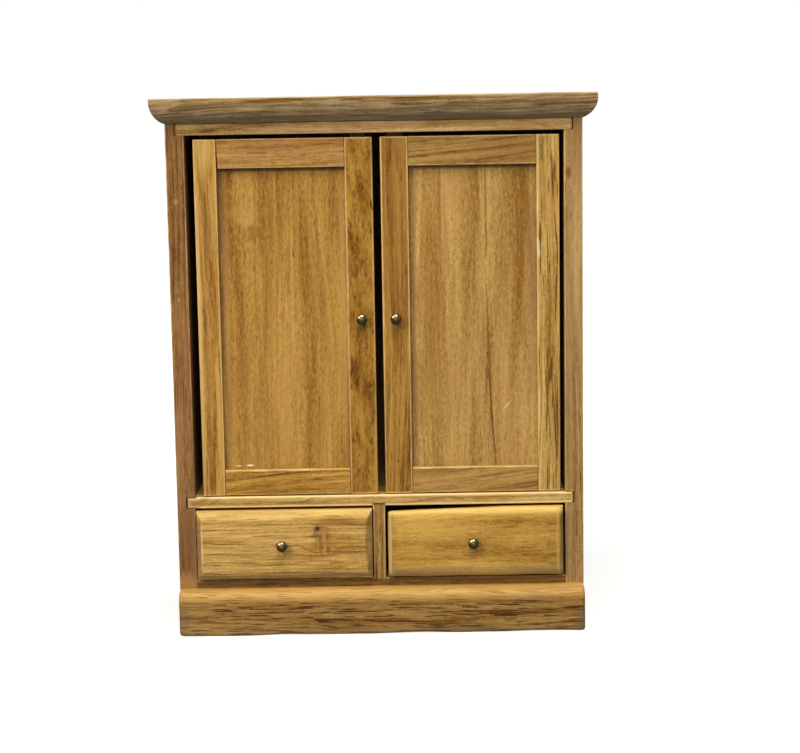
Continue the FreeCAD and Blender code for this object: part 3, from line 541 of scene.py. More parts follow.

# %% [markdown]
# ## Dressing the boards
# A board that the construction already has right keeps its mesh. One material for all of
# them would be less work, but no two boards of the real one match. So each has a row with
# its own figure, colour and cut of the trunk: the sides are a reddish plank, the door
# frames a golden one with bold streaks in the hinge stiles, and the panels fine and
# quiet. The shelf's edges are rubbed the most and carry the strongest painted highlight,
# and the panels, between their frames, have neither.

# %% Boards that keep their mesh
BOARDS = {
    "left_side": dict(grain="z", figure="lined", colour="8a6438", cut=1.0, rosy=0.6),
    "right_side": dict(grain="z", figure="quiet", colour="9b7947", cut=2.2, rosy=0.6),
    "carcass_top": dict(grain="x", figure="quiet", colour="b4935e", cut=3.1, slope=1, joint=0.6),
    "tv_shelf": dict(grain="x", figure="quiet", colour="b99a57", cut=4.4, wear_and_highlight=(0.9, 0.95), joint=0.8),
    "bottom_board": dict(grain="x", figure="lined", colour="7e5b29", cut=5.2),
    "drawer_divider": dict(
        grain="z", figure="bold", colour="98733b", cut=6.3, joint=0.8, wear_and_highlight=(0.5, 0.6)
    ),
    "door_stop": dict(grain="x", figure="quiet", colour="9b7744", cut=6.9),
    "back_panel": dict(grain="z", figure="fine", colour="a07940", cut=7.7),
    "left_door_hinge_stile": dict(
        grain="z", figure="streaky", colour="a87e3b", cut=8.1, wear_and_highlight=(0.5, 0.4), rosy=0.3
    ),
    "left_door_meeting_stile": dict(
        grain="z", figure="mottled", colour="946b25", cut=9.5, wear_and_highlight=(0.5, 0.5), rosy=0.2
    ),
    "left_door_top_rail": dict(grain="x", figure="quiet", colour="a37a40", cut=10.2, slope=2, joint=0.9),
    "left_door_bottom_rail": dict(
        grain="x", figure="lined", colour="ab8136", cut=11.6, slope=5, joint=0.5, wear_and_highlight=(0.5, 0.6)
    ),
    "left_door_panel": dict(
        grain="z", figure="fine", colour="a77f3a", cut=12.4, wear_and_highlight=(0.3, 0), rosy=0.4
    ),
    "right_door_hinge_stile": dict(grain="z", figure="bold", colour="ae8b48", cut=13.8, wear_and_highlight=(0.5, 0.4)),
    "right_door_meeting_stile": dict(
        grain="z", figure="streaky", colour="976f2d", cut=14.1, slope=1, wear_and_highlight=(0.5, 0.5)
    ),
    "right_door_top_rail": dict(grain="x", figure="lined", colour="957039", cut=15.3, slope=5, joint=0.9),
    "right_door_bottom_rail": dict(
        grain="x", figure="lined", colour="9c773c", cut=16.7, slope=8, joint=0.7, wear_and_highlight=(0.5, 0.6)
    ),
    "right_door_panel": dict(
        grain="z", figure="fine", colour="a98446", cut=17.2, wear_and_highlight=(0.3, 0), rosy=0.3
    ),
}
for side_name in ("left_drawer", "right_drawer"):
    for part, grain in (("left_wall", "y"), ("right_wall", "y"), ("back", "x"), ("base", "x")):
        BOARDS[f"{side_name}_{part}"] = dict(
            grain=grain, figure="quiet", colour="b8935a", cut=18.0 + len(BOARDS) / 3
        )
print("boards:", len(BOARDS))

# %% [markdown]
# ### What happened to each board
# Some boards carry marks of their own: plugs in the sides, chips of clean wood on the
# bottom rails, a scratch and dark streaks on the right panel. Each panel also has painted
# shade in its corner with its frame, under the top rail and beside the left stile, and the
# lower part of the left side has painted shade that darkens it towards the bottom. Noise
# alone would put such things anywhere, so each is written down: its place x and z on the
# armoire, its width across the grain and its length along it, all in millimetres, its tilt
# in degrees, its colour and its strength.

# %% Marks on the boards


def corner_shade_and_margin(door, left_stile):
    """Painted shade on the panel, in its corners with the top rail and the left stile, and a
    pinker band beside the stile.
    """
    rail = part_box(f"{door}_top_rail")[0][2] / MM
    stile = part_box(f"{door}_{left_stile}")[1][0] / MM
    return [
        (stile + 1.4, rail - 45.0, 2.6, 170.0, 0, "9c7648", 0.4),
        (stile, rail - 45.0, 1.6, 300.0, 0, "5e3c1c", 0.5),
        (stile + 17.0, rail, 90.0, 2.4, 0, "3c2612", 0.7),
    ]


MARKS = {
    # x, z, width, length, tilt, colour, strength
    "left_side": [
        (-55.5, 123.9, 2.2, 4.6, 0, "7a5430", 0.6),
        (-55.5, 123.9, 1.2, 2.0, 0, "b48c5c", 0.6),
        (-55.6, 96.4, 2.0, 4.2, 0, "7a5430", 0.6),
        (-55.6, 96.4, 1.1, 1.8, 0, "b48c5c", 0.6),
        # painted shade: the lower part of the side, darker towards the bottom
        (-55.4, 10.0, 30.0, 110.0, 0, "5e3f22", 0.4),
        (-55.4, 14.0, 10.0, 9.0, 0, "b98f54", 0.5),
    ],
    "right_side": [
        (53.9, 74.0, 2.4, 220.0, 0, "a68b58", 0.4),
        (55.5, 60.0, 1.6, 70.0, 0, "7f5228", 0.5),
        (54.1, 130.4, 2.0, 4.0, 0, "7a4420", 0.8),
    ],
    "carcass_top": [
        (-45.9, 143.3, 0.6, 5.0, 4, "4a3016", 0.8),
        (36.0, 143.8, 5.0, 70.0, 0, "a87438", 0.45),
        (47.3, 143.6, 0.6, 9.0, -12, "5c3a18", 0.6),
    ],
    "tv_shelf": [
        (-55.2, 38.0, 3.6, 0.5, 0, "3a2412", 0.8),
        (-53.8, 39.6, 0.7, 3.6, 0, "3a2412", 0.8),
        (-53.8, 36.4, 0.7, 3.6, 0, "3a2412", 0.8),
        (-51.5, 38.0, 2.4, 7.0, 30, "8a5a30", 0.5),
        (-47.2, 38.2, 0.7, 4.0, 30, "7c5424", 0.6),
        (-20.6, 38.4, 0.7, 5.0, 14, "7c5424", 0.6),
        (14.2, 38.0, 1.0, 16.0, 7, "7c5a26", 0.5),
    ],
    "drawer_divider": [
        (-1.8, 27.0, 0.5, 24.0, 0, "cfaa6c", 0.7),
        (-1.1, 25.0, 0.5, 26.0, 1, "6e4018", 0.6),
        (0.2, 29.0, 0.4, 14.0, -1, "6e4018", 0.6),
        (0.8, 22.0, 0.6, 18.0, 0, "c49c5c", 0.5),
    ],
    "left_door_hinge_stile": [
        (-47.6, 142.0, 6.0, 24.0, 0, "e2bd6c", 0.5),
        (-49.9, 90.0, 1.2, 110.0, 0, "dcc087", 0.5),
        (-46.6, 118.0, 1.8, 26.0, 2, "8a6430", 0.5),
        (-48.2, 72.0, 1.0, 60.0, -1, "8a6430", 0.4),
    ],
    "left_door_meeting_stile": [
        (-1.0, 122.1, 0.5, 4.5, -8, "2a1604", 0.9),
        (-5.8, 125.0, 2.2, 5.0, 20, "5e3a0c", 0.5),
        (-5.0, 104.5, 2.6, 8.0, 25, "5e3a0c", 0.5),
        (-6.6, 77.0, 1.4, 7.0, 0, "5e3a0c", 0.5),
    ],
    "left_door_bottom_rail": [
        (-34.0, 47.0, 0.5, 5.0, 0, "f0cf8c", 0.8),
        (-22.0, 47.0, 0.5, 8.0, 0, "f0cf8c", 0.7),
    ],
    "left_door_panel": [
        (-37.2, 120.0, 9.0, 6.0, 0, "b89850", 0.3),
        (-36.4, 117.8, 5.0, 2.6, 0, "be9c54", 0.3),
        (-34.4, 114.4, 6.5, 6.0, 20, "7c5420", 0.45),
        (-30.0, 92.0, 5.0, 60.0, 0, "94692c", 0.3),
        (-23.3, 108.3, 0.5, 3.4, 0, "3c2208", 0.9),
        (-9.4, 95.0, 1.8, 90.0, 0, "b08a58", 0.4),
        (-40.4, 48.2, 2.6, 0.5, 0, "f2d9a2", 0.7),
        (-37.0, 48.3, 2.6, 0.6, 0, "fff2d0", 0.95),
        *corner_shade_and_margin("left_door", "hinge_stile"),
    ],
    "right_door_meeting_stile": [(5.4, 49.2, 0.7, 1.4, 0, "5a3208", 0.8)],
    "right_door_bottom_rail": [
        (13.0, 47.0, 0.5, 6.0, 0, "f0cf8c", 0.8),
        (22.5, 47.0, 0.5, 9.0, 0, "f0cf8c", 0.6),
        (37.0, 47.0, 0.5, 7.0, 0, "f0cf8c", 0.7),
    ],
    "right_door_panel": [
        (15.0, 92.0, 10.0, 130.0, 0, "94692a", 0.3),
        (31.0, 118.0, 1.0, 60.0, 0, "6a4218", 0.5),
        (31.6, 80.0, 0.8, 56.0, -2, "6a4520", 0.6),
        (32.4, 60.0, 0.6, 32.0, -4, "4e2c10", 0.7),
        (36.3, 64.3, 0.7, 4.8, 42, "f0d8a2", 0.65),
        (43.8, 92.0, 2.2, 70.0, 0, "94764e", 0.5),
        *corner_shade_and_margin("right_door", "meeting_stile"),
    ],
    "right_door_hinge_stile": [
        (45.5, 122.0, 1.0, 12.0, 4, "e8cf98", 0.75),
        (45.5, 110.0, 1.2, 9.0, -5, "ecd5a2", 0.75),
        (45.5, 88.0, 0.8, 22.0, 1, "e2c88e", 0.6),
        (45.5, 62.0, 0.9, 20.0, 2, "e2c88e", 0.6),
        (48.2, 108.0, 0.5, 26.0, -1, "5a3a10", 0.8),
        (49.6, 132.0, 0.6, 14.0, -2, "5a3a10", 0.7),
        (48.0, 66.0, 0.6, 30.0, -4, "6a4414", 0.7),
        (49.9, 62.0, 0.5, 34.0, -3, "5a3a10", 0.7),
    ],
}
print("boards with marks:", len(MARKS))

# %% [markdown]
# ### Sanded edges
# An edge that is quite sharp catches no light and looks like card. The construction could
# hold the bevels, but sandpaper comes last on the real one too, so modifiers cut them:
# Weld joins the mesh's loose triangles, Decimate joins those that lie in one plane, and
# Bevel takes an eighth of a millimetre off every edge.

# %% Sanded edges
TOUCH_OF_PAPER = 0.12 * MM
SAME_POINT = 0.001 * MM
SAME_PLANE = math.radians(1)
SHARP_ARRIS = math.radians(40)


def soften(node):
    """Weld, planar Decimate and Bevel, in that order."""
    weld = node.modifiers.new("join_triangles", "WELD")
    weld.merge_threshold = SAME_POINT
    flat = node.modifiers.new("join_planes", "DECIMATE")
    flat.decimate_type = "DISSOLVE"
    flat.angle_limit = SAME_PLANE
    arris = node.modifiers.new("sanded_arris", "BEVEL")
    arris.width = TOUCH_OF_PAPER
    arris.segments = 2
    arris.limit_method = "ANGLE"
    arris.angle_limit = SHARP_ARRIS


for name, finish in BOARDS.items():
    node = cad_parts[name]
    node.material_slots[0].material = oak(
        f"{name}_oak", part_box(name), marks=MARKS.get(name, ()), **finish
    )
    soften(node)
print("dressed", len(BOARDS), "boards")

# %% [markdown]
# ## Moulded boards
# The cornice, the plinth and the drawer fronts are blocks whose outline shrinks towards
# one face: a moulding, a round, a bevel. A Bevel modifier would need a weight on each edge
# for its width, and no weight makes a bow, so each block is a stack of rings instead. A
# ring is a rectangle with round corners, and it needs only its four insets from the
# block's box, its corner radius and its level. Walking once round it is the same for
# every ring, so the whole stack is one array: corner middles blended along the sides,
# plus the corner radius times a direction.

# %% Stacks of rings
CORNER_STEPS = 5


def ring_walk(side_steps):
    """One turn round a rectangle, counter-clockwise, as four arrays: the corner behind,
    the corner ahead, the share of the way between them, and the outward direction."""
    behind, share, angle = [], [], []
    for corner in range(4):
        start = math.radians(180 + 90 * corner)
        steps = side_steps[corner % 2]
        behind.append(np.full(CORNER_STEPS + steps - 1, corner))
        share.append(np.concatenate([np.zeros(CORNER_STEPS), np.arange(1, steps) / steps]))
        arc = start + np.linspace(0, math.pi / 2, CORNER_STEPS)
        angle.append(np.concatenate([arc, np.full(steps - 1, start + math.pi / 2)]))
    behind = np.concatenate(behind)
    angle = np.concatenate(angle)
    outward = np.stack([np.cos(angle), np.sin(angle)], axis=1)
    return behind, (behind + 1) % 4, np.concatenate(share)[:, None], outward


def ring_stack(low, high, insets, levels, radii, side_steps):
    """Points of all rings. low and high are the block's corners in its face, insets are
    left, lower, right and upper for each ring, all in millimetres."""
    insets = np.asarray(insets, float)
    left, lower, right, upper = (insets[:, k] for k in range(4))
    ends = np.stack([low[0] + left, high[0] - right], axis=1)
    edges = np.stack([low[1] + lower, high[1] - upper], axis=1)
    radii = np.asarray(radii, float)[:, None]
    xs = np.stack([ends[:, 0], ends[:, 1], ends[:, 1], ends[:, 0]], axis=1)
    ys = np.stack([edges[:, 0], edges[:, 0], edges[:, 1], edges[:, 1]], axis=1)
    xs += radii * np.array([1, -1, -1, 1])
    ys += radii * np.array([1, 1, -1, -1])
    behind, ahead, share, outward = ring_walk(side_steps)
    middles = np.stack([xs, ys], axis=2)
    walk = middles[:, behind] * (1 - share) + middles[:, ahead] * share
    walk += radii[:, :, None] * outward
    heights = np.broadcast_to(np.asarray(levels, float)[:, None, None], (*walk.shape[:2], 1))
    return np.concatenate([walk, heights], axis=2)


def ring_faces(rings, points):
    """Quads between rings that follow each other, and one face to close each end."""
    index = np.arange(rings * points).reshape(rings, points)
    onward = np.roll(index, -1, axis=1)
    quads = np.stack([index[:-1], onward[:-1], onward[1:], index[1:]], axis=-1).reshape(-1, 4)
    return quads.tolist() + [index[0, ::-1].tolist(), index[-1].tolist()]


print("a ring of a long board has", len(ring_walk((120, 40))[0]), "points")

# %% [markdown]
# ### Sanding, and making a piece
# Nothing that is sanded by hand is quite straight. Shifting each point at random would
# make it rough, but a sum of a few sines is smooth, and its waves are as long as the
# sander's strokes. A finished mesh rides on its body in place of the construction's node.

# %% Sanding by hand and pieces
STROKES = 9
STROKE_SPREAD = (0.5, 1.6)
SMOOTH_UP_TO = math.radians(38)


def by_hand(points, amount, wave, seed):
    """Small smooth shifts, as from hand sanding: sums of sines in random directions, with
    wavelengths near the one given, in millimetres."""
    draw = np.random.default_rng(seed)
    shift = np.zeros_like(points)
    for _ in range(STROKES):
        direction = draw.normal(size=3)
        turns = 2 * math.pi / wave / np.linalg.norm(direction)
        direction *= turns * draw.uniform(*STROKE_SPREAD)
        swing = np.sin(points @ direction + draw.uniform(0, 2 * math.pi))
        shift += swing[:, None] * draw.normal(size=3)
    return shift * amount / math.sqrt(STROKES)


def piece(name, points, faces, body, material, replaced):
    """A mesh in millimetres as a piece that rides on a body and stands for a node."""
    mesh = bpy.data.meshes.new(name)
    mesh.from_pydata((np.asarray(points) * MM).tolist(), [], faces)
    mesh.shade_smooth()
    mesh.set_sharp_from_angle(angle=SMOOTH_UP_TO)
    mesh.materials.append(material)
    made = bpy.data.objects.new(name, mesh)
    bpy.context.scene.collection.objects.link(made)
    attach(made, body)
    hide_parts(replaced)
    return made


def box_mm(node):
    """A node's box in millimetres, as two arrays."""
    return [np.array(corner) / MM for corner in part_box(node)]


print("the cornice's corners in mm:", *box_mm("cornice"))

# %% [markdown]
# ## Cornice
# The top board overhangs the carcass in front and at both ends, and its edge is worked to
# a quarter-round that starts upright under a narrow flat. A profile carried along three
# edges would need mitres, and rings turn the corners by themselves. They lie level and
# climb from the carcass to the top; at the back nothing is worked, so that inset stays
# nought. It was sanded by hand, so the line wavers a little. The lower part of the worked
# round, which faces down, has painted shade, greyer and darker, and two grey lines run
# along the round.

# %% Cornice
FLAT = 1.1
TOP_ROUND = 0.5
ALMOST_LEVEL = 0.98
CORNICE_CORNER = 0.25
CORNICE_SANDING = {"amount": 0.13, "wave": 17, "seed": 3}


def quarter_round(steps, radius, start_sine, end_sine):
    """Insets and depths along a circle that is tangent to the face at its far end: the
    depth is the radius times the sine, the inset the radius less the cosine's share."""
    sine = np.linspace(start_sine, end_sine, steps)
    return radius * (1 - np.sqrt(1 - sine**2)), radius * sine


def make_cornice():
    """The round starts a drop below the flat and an overhang inside it, so its radius is
    the sum of their squares over twice the overhang."""
    low, high = box_mm("cornice")
    overhang = box_mm("left_side")[0][0] - low[0]
    drop = high[2] - low[2] - FLAT
    radius = (overhang**2 + drop**2) / (2 * overhang)
    round_inset, round_depth = quarter_round(18, radius, drop / radius, 0.0)
    top_inset, top_depth = quarter_round(6, TOP_ROUND, 0.0, ALMOST_LEVEL)
    inset = np.concatenate([round_inset, top_inset])
    level = np.concatenate([high[2] - FLAT - round_depth, high[2] - TOP_ROUND + top_depth])
    insets = np.stack([inset, inset, inset, np.zeros_like(inset)], axis=1)
    radii = np.full(len(inset), CORNICE_CORNER)
    rings = ring_stack(low[:2], high[:2], insets, level, radii, (160, 40))
    points = rings.reshape(-1, 3)
    points = np.clip(points + by_hand(points, **CORNICE_SANDING), low, high)
    faces = ring_faces(*rings.shape[:2])
    # painted shade on the lower, downward-facing part of the round, then two grey lines
    underside_shade_and_lines = [
        (0.0, low[2] + 0.2, 6.0, 400.0, 0, "6a6352", 0.65),
        (-30.0, low[2] + 4.6, 0.9, 70.0, 0, "6f664c", 0.5),
        (28.0, low[2] + 4.2, 1.0, 80.0, 1, "6f664c", 0.5),
    ]
    finish = oak(
        "cornice_oak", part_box("cornice"), "x", "weathered", "967c55", 26.4, slope=1, rosy=0.1,
        wear_and_highlight=(0.5, 0.3), marks=underside_shade_and_lines, deep=ALL_ROUND,
    )
    return piece("cornice_moulded", points, faces, "carcass", finish, "cornice")


cornice = make_cornice()
print("cornice faces:", len(cornice.data.polygons))

# %% [markdown]
# ## Plinth
# The plinth is the coarsest board of all, from the outside of a tree. A wide round runs
# along its upper front edge, where the sanding left clean pale wood, and its ends are
# eased. The pale band on the round is also a painted highlight, for the light from above.
# Two bevels of different widths would meet badly at the corners, and in rings they are
# only two insets. The rings stand upright and go from the face back to the carcass.

# %% Plinth
WIDE_ROUND = 3.7
END_ROUND = 0.8
PLINTH_CORNER = 1.1
PLINTH_SANDING = {"amount": 0.14, "wave": 13, "seed": 8}


def eased(depth, radius):
    """Inset of a quarter-round edge at a depth behind the face."""
    inside = np.clip(radius - depth, 0, radius)
    return radius - np.sqrt(radius**2 - inside**2)


def make_plinth():
    """Rings at depths of the wide radius times one less the cosine, and one at the back."""
    low, high = box_mm("plinth")
    over_round = WIDE_ROUND * (1 - np.cos(np.linspace(0, math.pi / 2, 14)))
    depth = np.concatenate([over_round, [high[1] - low[1]]])
    end = eased(depth, END_ROUND)
    insets = np.stack([end, end, end, eased(depth, WIDE_ROUND)], axis=1)
    radii = np.full(len(depth), PLINTH_CORNER)
    face = (low[[0, 2]], high[[0, 2]])
    rings = ring_stack(*face, insets, low[1] + depth, radii, (160, 20))
    points = rings.reshape(-1, 3)[:, [0, 2, 1]]
    points = np.clip(points + by_hand(points, **PLINTH_SANDING), low, high)
    faces = [corners[::-1] for corners in ring_faces(*rings.shape[:2])]
    marks = [
        # clean pale wood along the round, and a painted highlight for the light from above
        (0.0, high[2] - 0.2, 7.0, 400.0, 0, "d2a656", 0.5),
        (low[0] + 1.0, 4.0, 13.0, 7.0, 0, "6e5e48", 0.5),
        (high[0] - 0.5, 3.0, 10.0, 5.0, 0, "6e5e48", 0.5),
        (0.0, 1.0, 2.4, 400.0, 0, "7a664a", 0.4),
    ]
    finish = oak(
        "plinth_oak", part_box("plinth"), "x", "coarse", "937038", 27.1, rosy=0.3, wear_and_highlight=(0.3, 0.2),
        marks=marks, deep=ALL_ROUND,
    )
    return piece("plinth_rounded", points, faces, "carcass", finish, "plinth")


plinth = make_plinth()
print("plinth faces:", len(plinth.data.polygons))

# %% [markdown]
# ## Drawer fronts
# Both fronts started as the same block with a bevel on four sides. The left one is still
# crisp, but its bevels are not all as wide, and the right-hand one bows. The right front
# was sanded until the bevels ran into the field, so its section is a quarter of an
# ellipse, and its upper left corner was rubbed down the most, further still behind, where
# it has to clear the shelf. A bevel tool knows neither a bow nor a rubbed corner, and the
# rings take both as shifts. Behind the bevel both fronts are plain, and two rabbets take
# the drawer's walls: there the ring is narrower by a wall on the left and the right. The
# rabbets stop just above the walls, and over them the front is full width again.

# %% Sections of the drawer fronts
BEVEL_DEPTH = 1.2
BEVEL_WIDTHS = np.array([1.4, 2.1, 1.0, 2.3])
BEVEL_BOW = 1.3
CRISP_CORNER = 0.12
PILLOW_DEPTH = 1.7
PILLOW_WIDTHS = np.array([3.0, 3.4, 2.2, 3.4])
PILLOW_CORNERS = (1.8, 1.1)
RUBBED_DOWN = 0.8


def crisp_section():
    """Share of the bevel's width, depth and corner radius, with both lines rubbed round."""
    share = np.array([1.1, 1.0, 0.88, 0.07, 0.01, 0.0])
    depth = np.array([0.0, 0.03, 0.12, BEVEL_DEPTH - 0.1, BEVEL_DEPTH + 0.02, BEVEL_DEPTH + 0.2])
    return share, depth, np.full(len(share), CRISP_CORNER)


def pillow_section():
    """Share of the width, depth and corner radius from field to edge: one less the sine,
    the pillow's depth times one less the cosine, and a radius that shrinks evenly."""
    turn = np.linspace(0, math.pi / 2, 14)
    depth = PILLOW_DEPTH * (1 - np.cos(turn))
    return 1 - np.sin(turn), depth, np.linspace(*PILLOW_CORNERS, len(turn))


print("rings in a bevel:", len(crisp_section()[0]), "and in a pillow:", len(pillow_section()[0]))

# %% [markdown]
# ### From a section to a front
# The two fronts differ only in their sections, their widths and what hands did to them,
# so one function makes both.

# %% Drawer fronts
WALL = 1.6
WALL_LAP = 2.4
RABBET_OVER_WALL = 0.8
RABBET_CORNER = 0.05
BOW_REACH = 8
RUBBED_PAST_MIDDLE = 8
RUBBED_BEHIND = 1.7
FRONT_SANDING = {"amount": 0.07, "wave": 11}


def make_front(node, section, widths, bow, rubbed, seed, body, finish):
    """Rings from the field to the back. The rabbets stop just above the drawer's walls,
    so there the last rings are widened again to the full width. The bow draws the field
    in from the right end by a parabola over the height, and rubbing lowers the upper edge
    towards the left."""
    low, high = box_mm(node)
    rabbet_top = box_mm(f"{body}_left_wall")[1][2] + RABBET_OVER_WALL
    share, depth, radii = section
    back = high[1] - low[1]
    depth = np.concatenate([depth, [back - WALL_LAP, back - WALL_LAP, back]])
    behind = np.array([[0, 0, 0, 0], [WALL, 0, WALL, 0], [WALL, 0, WALL, 0]])
    insets = np.concatenate([share[:, None] * widths, behind])
    radii = np.concatenate([radii, [radii[-1], RABBET_CORNER, RABBET_CORNER]])
    face = (low[[0, 2]], high[[0, 2]])
    rings = ring_stack(*face, insets, low[1] + depth, radii, (80, 32))
    middle = (low + high) / 2
    width = high[0] - low[0]
    widened = middle[0] + (rings[-2:, :, 0] - middle[0]) * width / (width - 2 * WALL)
    rings[-2:, :, 0] = np.where(rings[-2:, :, 1] > rabbet_top, widened, rings[-2:, :, 0])
    to_right = np.clip((rings[..., 0] - high[0] + BOW_REACH) / BOW_REACH, 0, 1) ** 2
    height = (rings[..., 1] - middle[2]) / (high[2] - middle[2])
    worked = np.concatenate([share, np.zeros(3)])[:, None]
    rings[..., 0] -= bow * worked * to_right * (1 - height**2)
    rubbed_from = middle[0] + RUBBED_PAST_MIDDLE
    to_left = np.clip((rubbed_from - rings[..., 0]) / (rubbed_from - low[0]), 0, 1)
    rubbing = np.append(np.full(len(rings) - 2, rubbed), [rubbed * RUBBED_BEHIND] * 2)[:, None]
    rings[..., 1] -= rubbing * to_left * np.clip(height, 0, 1) ** 2
    points = rings.reshape(-1, 3)[:, [0, 2, 1]]
    points = np.clip(points + by_hand(points, **FRONT_SANDING, seed=seed), low, high)
    faces = [corners[::-1] for corners in ring_faces(*rings.shape[:2])]
    return piece(f"{node}_bevelled", points, faces, body, finish, node)


print("the walls lap", WALL_LAP, "mm into a front")

# %% [markdown]
# ### The two fronts
# The left front has a knot with flames of figure round it, and short dark streaks along
# its upper bevel. The knot could be a ring pattern round a point, but real figure parts
# round a knot unevenly, so it is built up from marks, from its halo to its core. Both
# fronts have a painted highlight on the bevel that looks up and painted shade on the one
# that looks down. The crest of the left front's left bevel and the right front's left rim
# are worn pale and have a painted highlight as well.

# %% Knot and finish of the fronts
KNOT = (-18.0, 30.6)
UPPER_EDGE, LOWER_EDGE = 35.2, 16.6
left_marks = [
    # painted highlight on the upper bevel and painted shade on the lower one; then the left bevel's tone,
    # and its crest, worn pale and a painted highlight
    (-28.0, UPPER_EDGE, 4.6, 300.0, 0, "ecc970", 0.35),
    (-28.0, LOWER_EDGE, 2.8, 300.0, 0, "84704e", 0.65),
    (-52.0, 25.7, 18.0, 1.4, 0, "8c7156", 0.6),
    (-51.1, 25.7, 17.0, 0.5, 0, "f0d59a", 0.5),
    (-48.0, 33.5, 0.6, 5.0, 0, "a06a26", 0.6),
    (-42.5, 33.1, 0.5, 7.0, 1, "a06a26", 0.6),
    (-36.0, 33.6, 0.6, 6.0, 0, "a06a26", 0.6),
    (-31.0, 33.0, 0.5, 4.0, 3, "a06a26", 0.5),
    (-22.0, 34.4, 0.4, 5.0, 0, "b07a30", 0.5),
    (-11.5, 33.9, 0.5, 7.0, 2, "b07a30", 0.5),
    # the knot, from its halo to its core
    (-14.0, 32.3, 3.0, 16.0, 2, "8f5f18", 0.7),
    (-13.0, 27.6, 8.0, 11.0, 5, "a4722a", 0.5),
    (-16.8, 28.0, 9.5, 8.0, 0, "845620", 0.55),
    (-18.8, 28.8, 2.2, 2.6, 0, "5e4814", 0.6),
    (-17.3, 27.6, 3.8, 1.2, 5, "74501a", 0.6),
    (-17.1, 24.8, 3.4, 1.3, -9, "74501a", 0.55),
    (-15.2, 28.2, 2.8, 0.8, -10, "7c561e", 0.55),
    (-16.2, 28.0, 3.0, 0.8, -6, "cfa868", 0.35),
    (-15.9, 25.2, 3.4, 0.7, 8, "cfa868", 0.35),
    (-15.0, 24.2, 2.4, 1.7, 0, "64400e", 0.65),
    (-20.6, 24.4, 1.0, 6.0, -22, "84561c", 0.6),
    (-11.4, 24.6, 1.1, 9.0, 17, "946424", 0.6),
    (KNOT[0], KNOT[1], 3.0, 3.4, 0, "7a5e38", 0.7),
    (KNOT[0], KNOT[1], 1.5, 1.6, 0, "3a2008", 0.95),
    (-24.0, 27.2, 0.5, 5.0, 0, "7a4c1c", 0.7),
    (-23.6, 25.8, 0.4, 4.0, -6, "7a4c1c", 0.6),
    (-12.9, 20.6, 0.5, 6.0, 8, "6e4a18", 0.6),
    (-37.5, 20.6, 0.5, 9.0, -2, "7c5a22", 0.6),
    (-40.0, 30.6, 0.4, 12.0, 1, "8a6428", 0.6),
]
right_marks = [
    # painted highlight on the upper bevel and painted shade on the lower one; the left rim worn pale and
    # a painted highlight
    (26.0, UPPER_EDGE + 0.2, 3.6, 300.0, 0, "f0cd74", 0.55),
    (26.0, LOWER_EDGE + 0.4, 5.0, 300.0, 0, "a18c60", 0.55),
    (2.6, 26.0, 30.0, 1.4, 0, "e2c684", 0.5),
    (50.6, 26.0, 30.0, 1.4, 0, "d8b264", 0.4),
]
left_finish = oak(
    "left_front_oak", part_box("left_drawer_front"), "x", "ruled", "b9934e", 28.7, rosy=0.3,
    wear_and_highlight=(0.5, 0.5), marks=left_marks, deep=BEVEL_DEEP,
)
right_finish = oak(
    "right_front_oak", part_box("right_drawer_front"), "x", "brushed", "ae863a", 29.3, rosy=0.1,
    wear_and_highlight=(0.8, 0.4), marks=right_marks, deep=BEVEL_DEEP,
)
left_front = make_front(
    "left_drawer_front", crisp_section(), BEVEL_WIDTHS, BEVEL_BOW, 0.0, 5, "left_drawer", left_finish
)
right_front = make_front(
    "right_drawer_front", pillow_section(), PILLOW_WIDTHS, 0.0, RUBBED_DOWN, 12, "right_drawer",
    right_finish,
)
print("drawer fronts:", left_front.name, right_front.name)

# %% [markdown]
# ## Knobs and pins
# The knobs are turned in brass: a short neck, a flare, a narrow rim, a chamfer that
# catches the light, a fine groove and a small domed face. A turned piece is a profile
# carried round an axis. The Spin tool could carry it, but leaves doubled points at the
# seam and the poles, so it is worked out as one array with two single points.

# %% Profile of a knob
KNOB_REACH = 2.7
KNOB_SHANK = 2.4
SHANK_RADIUS = 0.5
NECK_RADIUS, NECK_LENGTH = 0.75, 0.55
FLARE_RADIUS, FLARE_LENGTH = 0.74, 0.75
FACE_RADIUS = 0.85


def knob_profile():
    """Height above the wood and radius, from the shank's end to the middle of the face.

    The flare is a quarter of an ellipse, hollow to the wood, and the face is another.
    """
    quarter = np.linspace(0, math.pi / 2, 9)
    flare_height = NECK_LENGTH + FLARE_LENGTH * (1 - np.cos(quarter))
    flare = np.stack([flare_height, NECK_RADIUS + FLARE_RADIUS * np.sin(quarter)], axis=1)
    rim = np.array([[1.34, 1.515], [1.44, 1.525], [1.66, 1.515], [1.78, 1.46], [1.82, 1.38]])
    chamfer = np.array([[1.86, 1.33], [1.98, 1.20], [2.09, 1.05], [2.16, 0.92], [2.11, 0.86]])
    sweep = np.linspace(0, math.pi / 2, 14)[1:-1]
    rise = KNOB_REACH - chamfer[-1, 0]
    face = np.stack([chamfer[-1, 0] + rise * np.sin(sweep), FACE_RADIUS * np.cos(sweep)], axis=1)
    foot = np.array([[-KNOB_SHANK, SHANK_RADIUS], [0.0, SHANK_RADIUS], [0.0, NECK_RADIUS]])
    return np.concatenate([foot, flare, rim, chamfer, face])


print("a knob is", 2 * knob_profile()[:, 1].max(), "mm across")

# %% [markdown]
# ### Old brass
# Old brass is olive-grey, brighter where fingers rub it, and nearly black in the groove
# and at the rim, where polish and grime gather. Here the dark olive-grey is also a painted
# dark reflection, and the rub, on the upper left of the chamfer, also a painted highlight.
# These zones could be materials of their own, but they fade into each other, so one
# material tells them by their distance from the axis and from a fingertip. The lathe's
# tool left rings 0.14 mm apart: a wave texture of scale s has one every 0.31 / s mm.

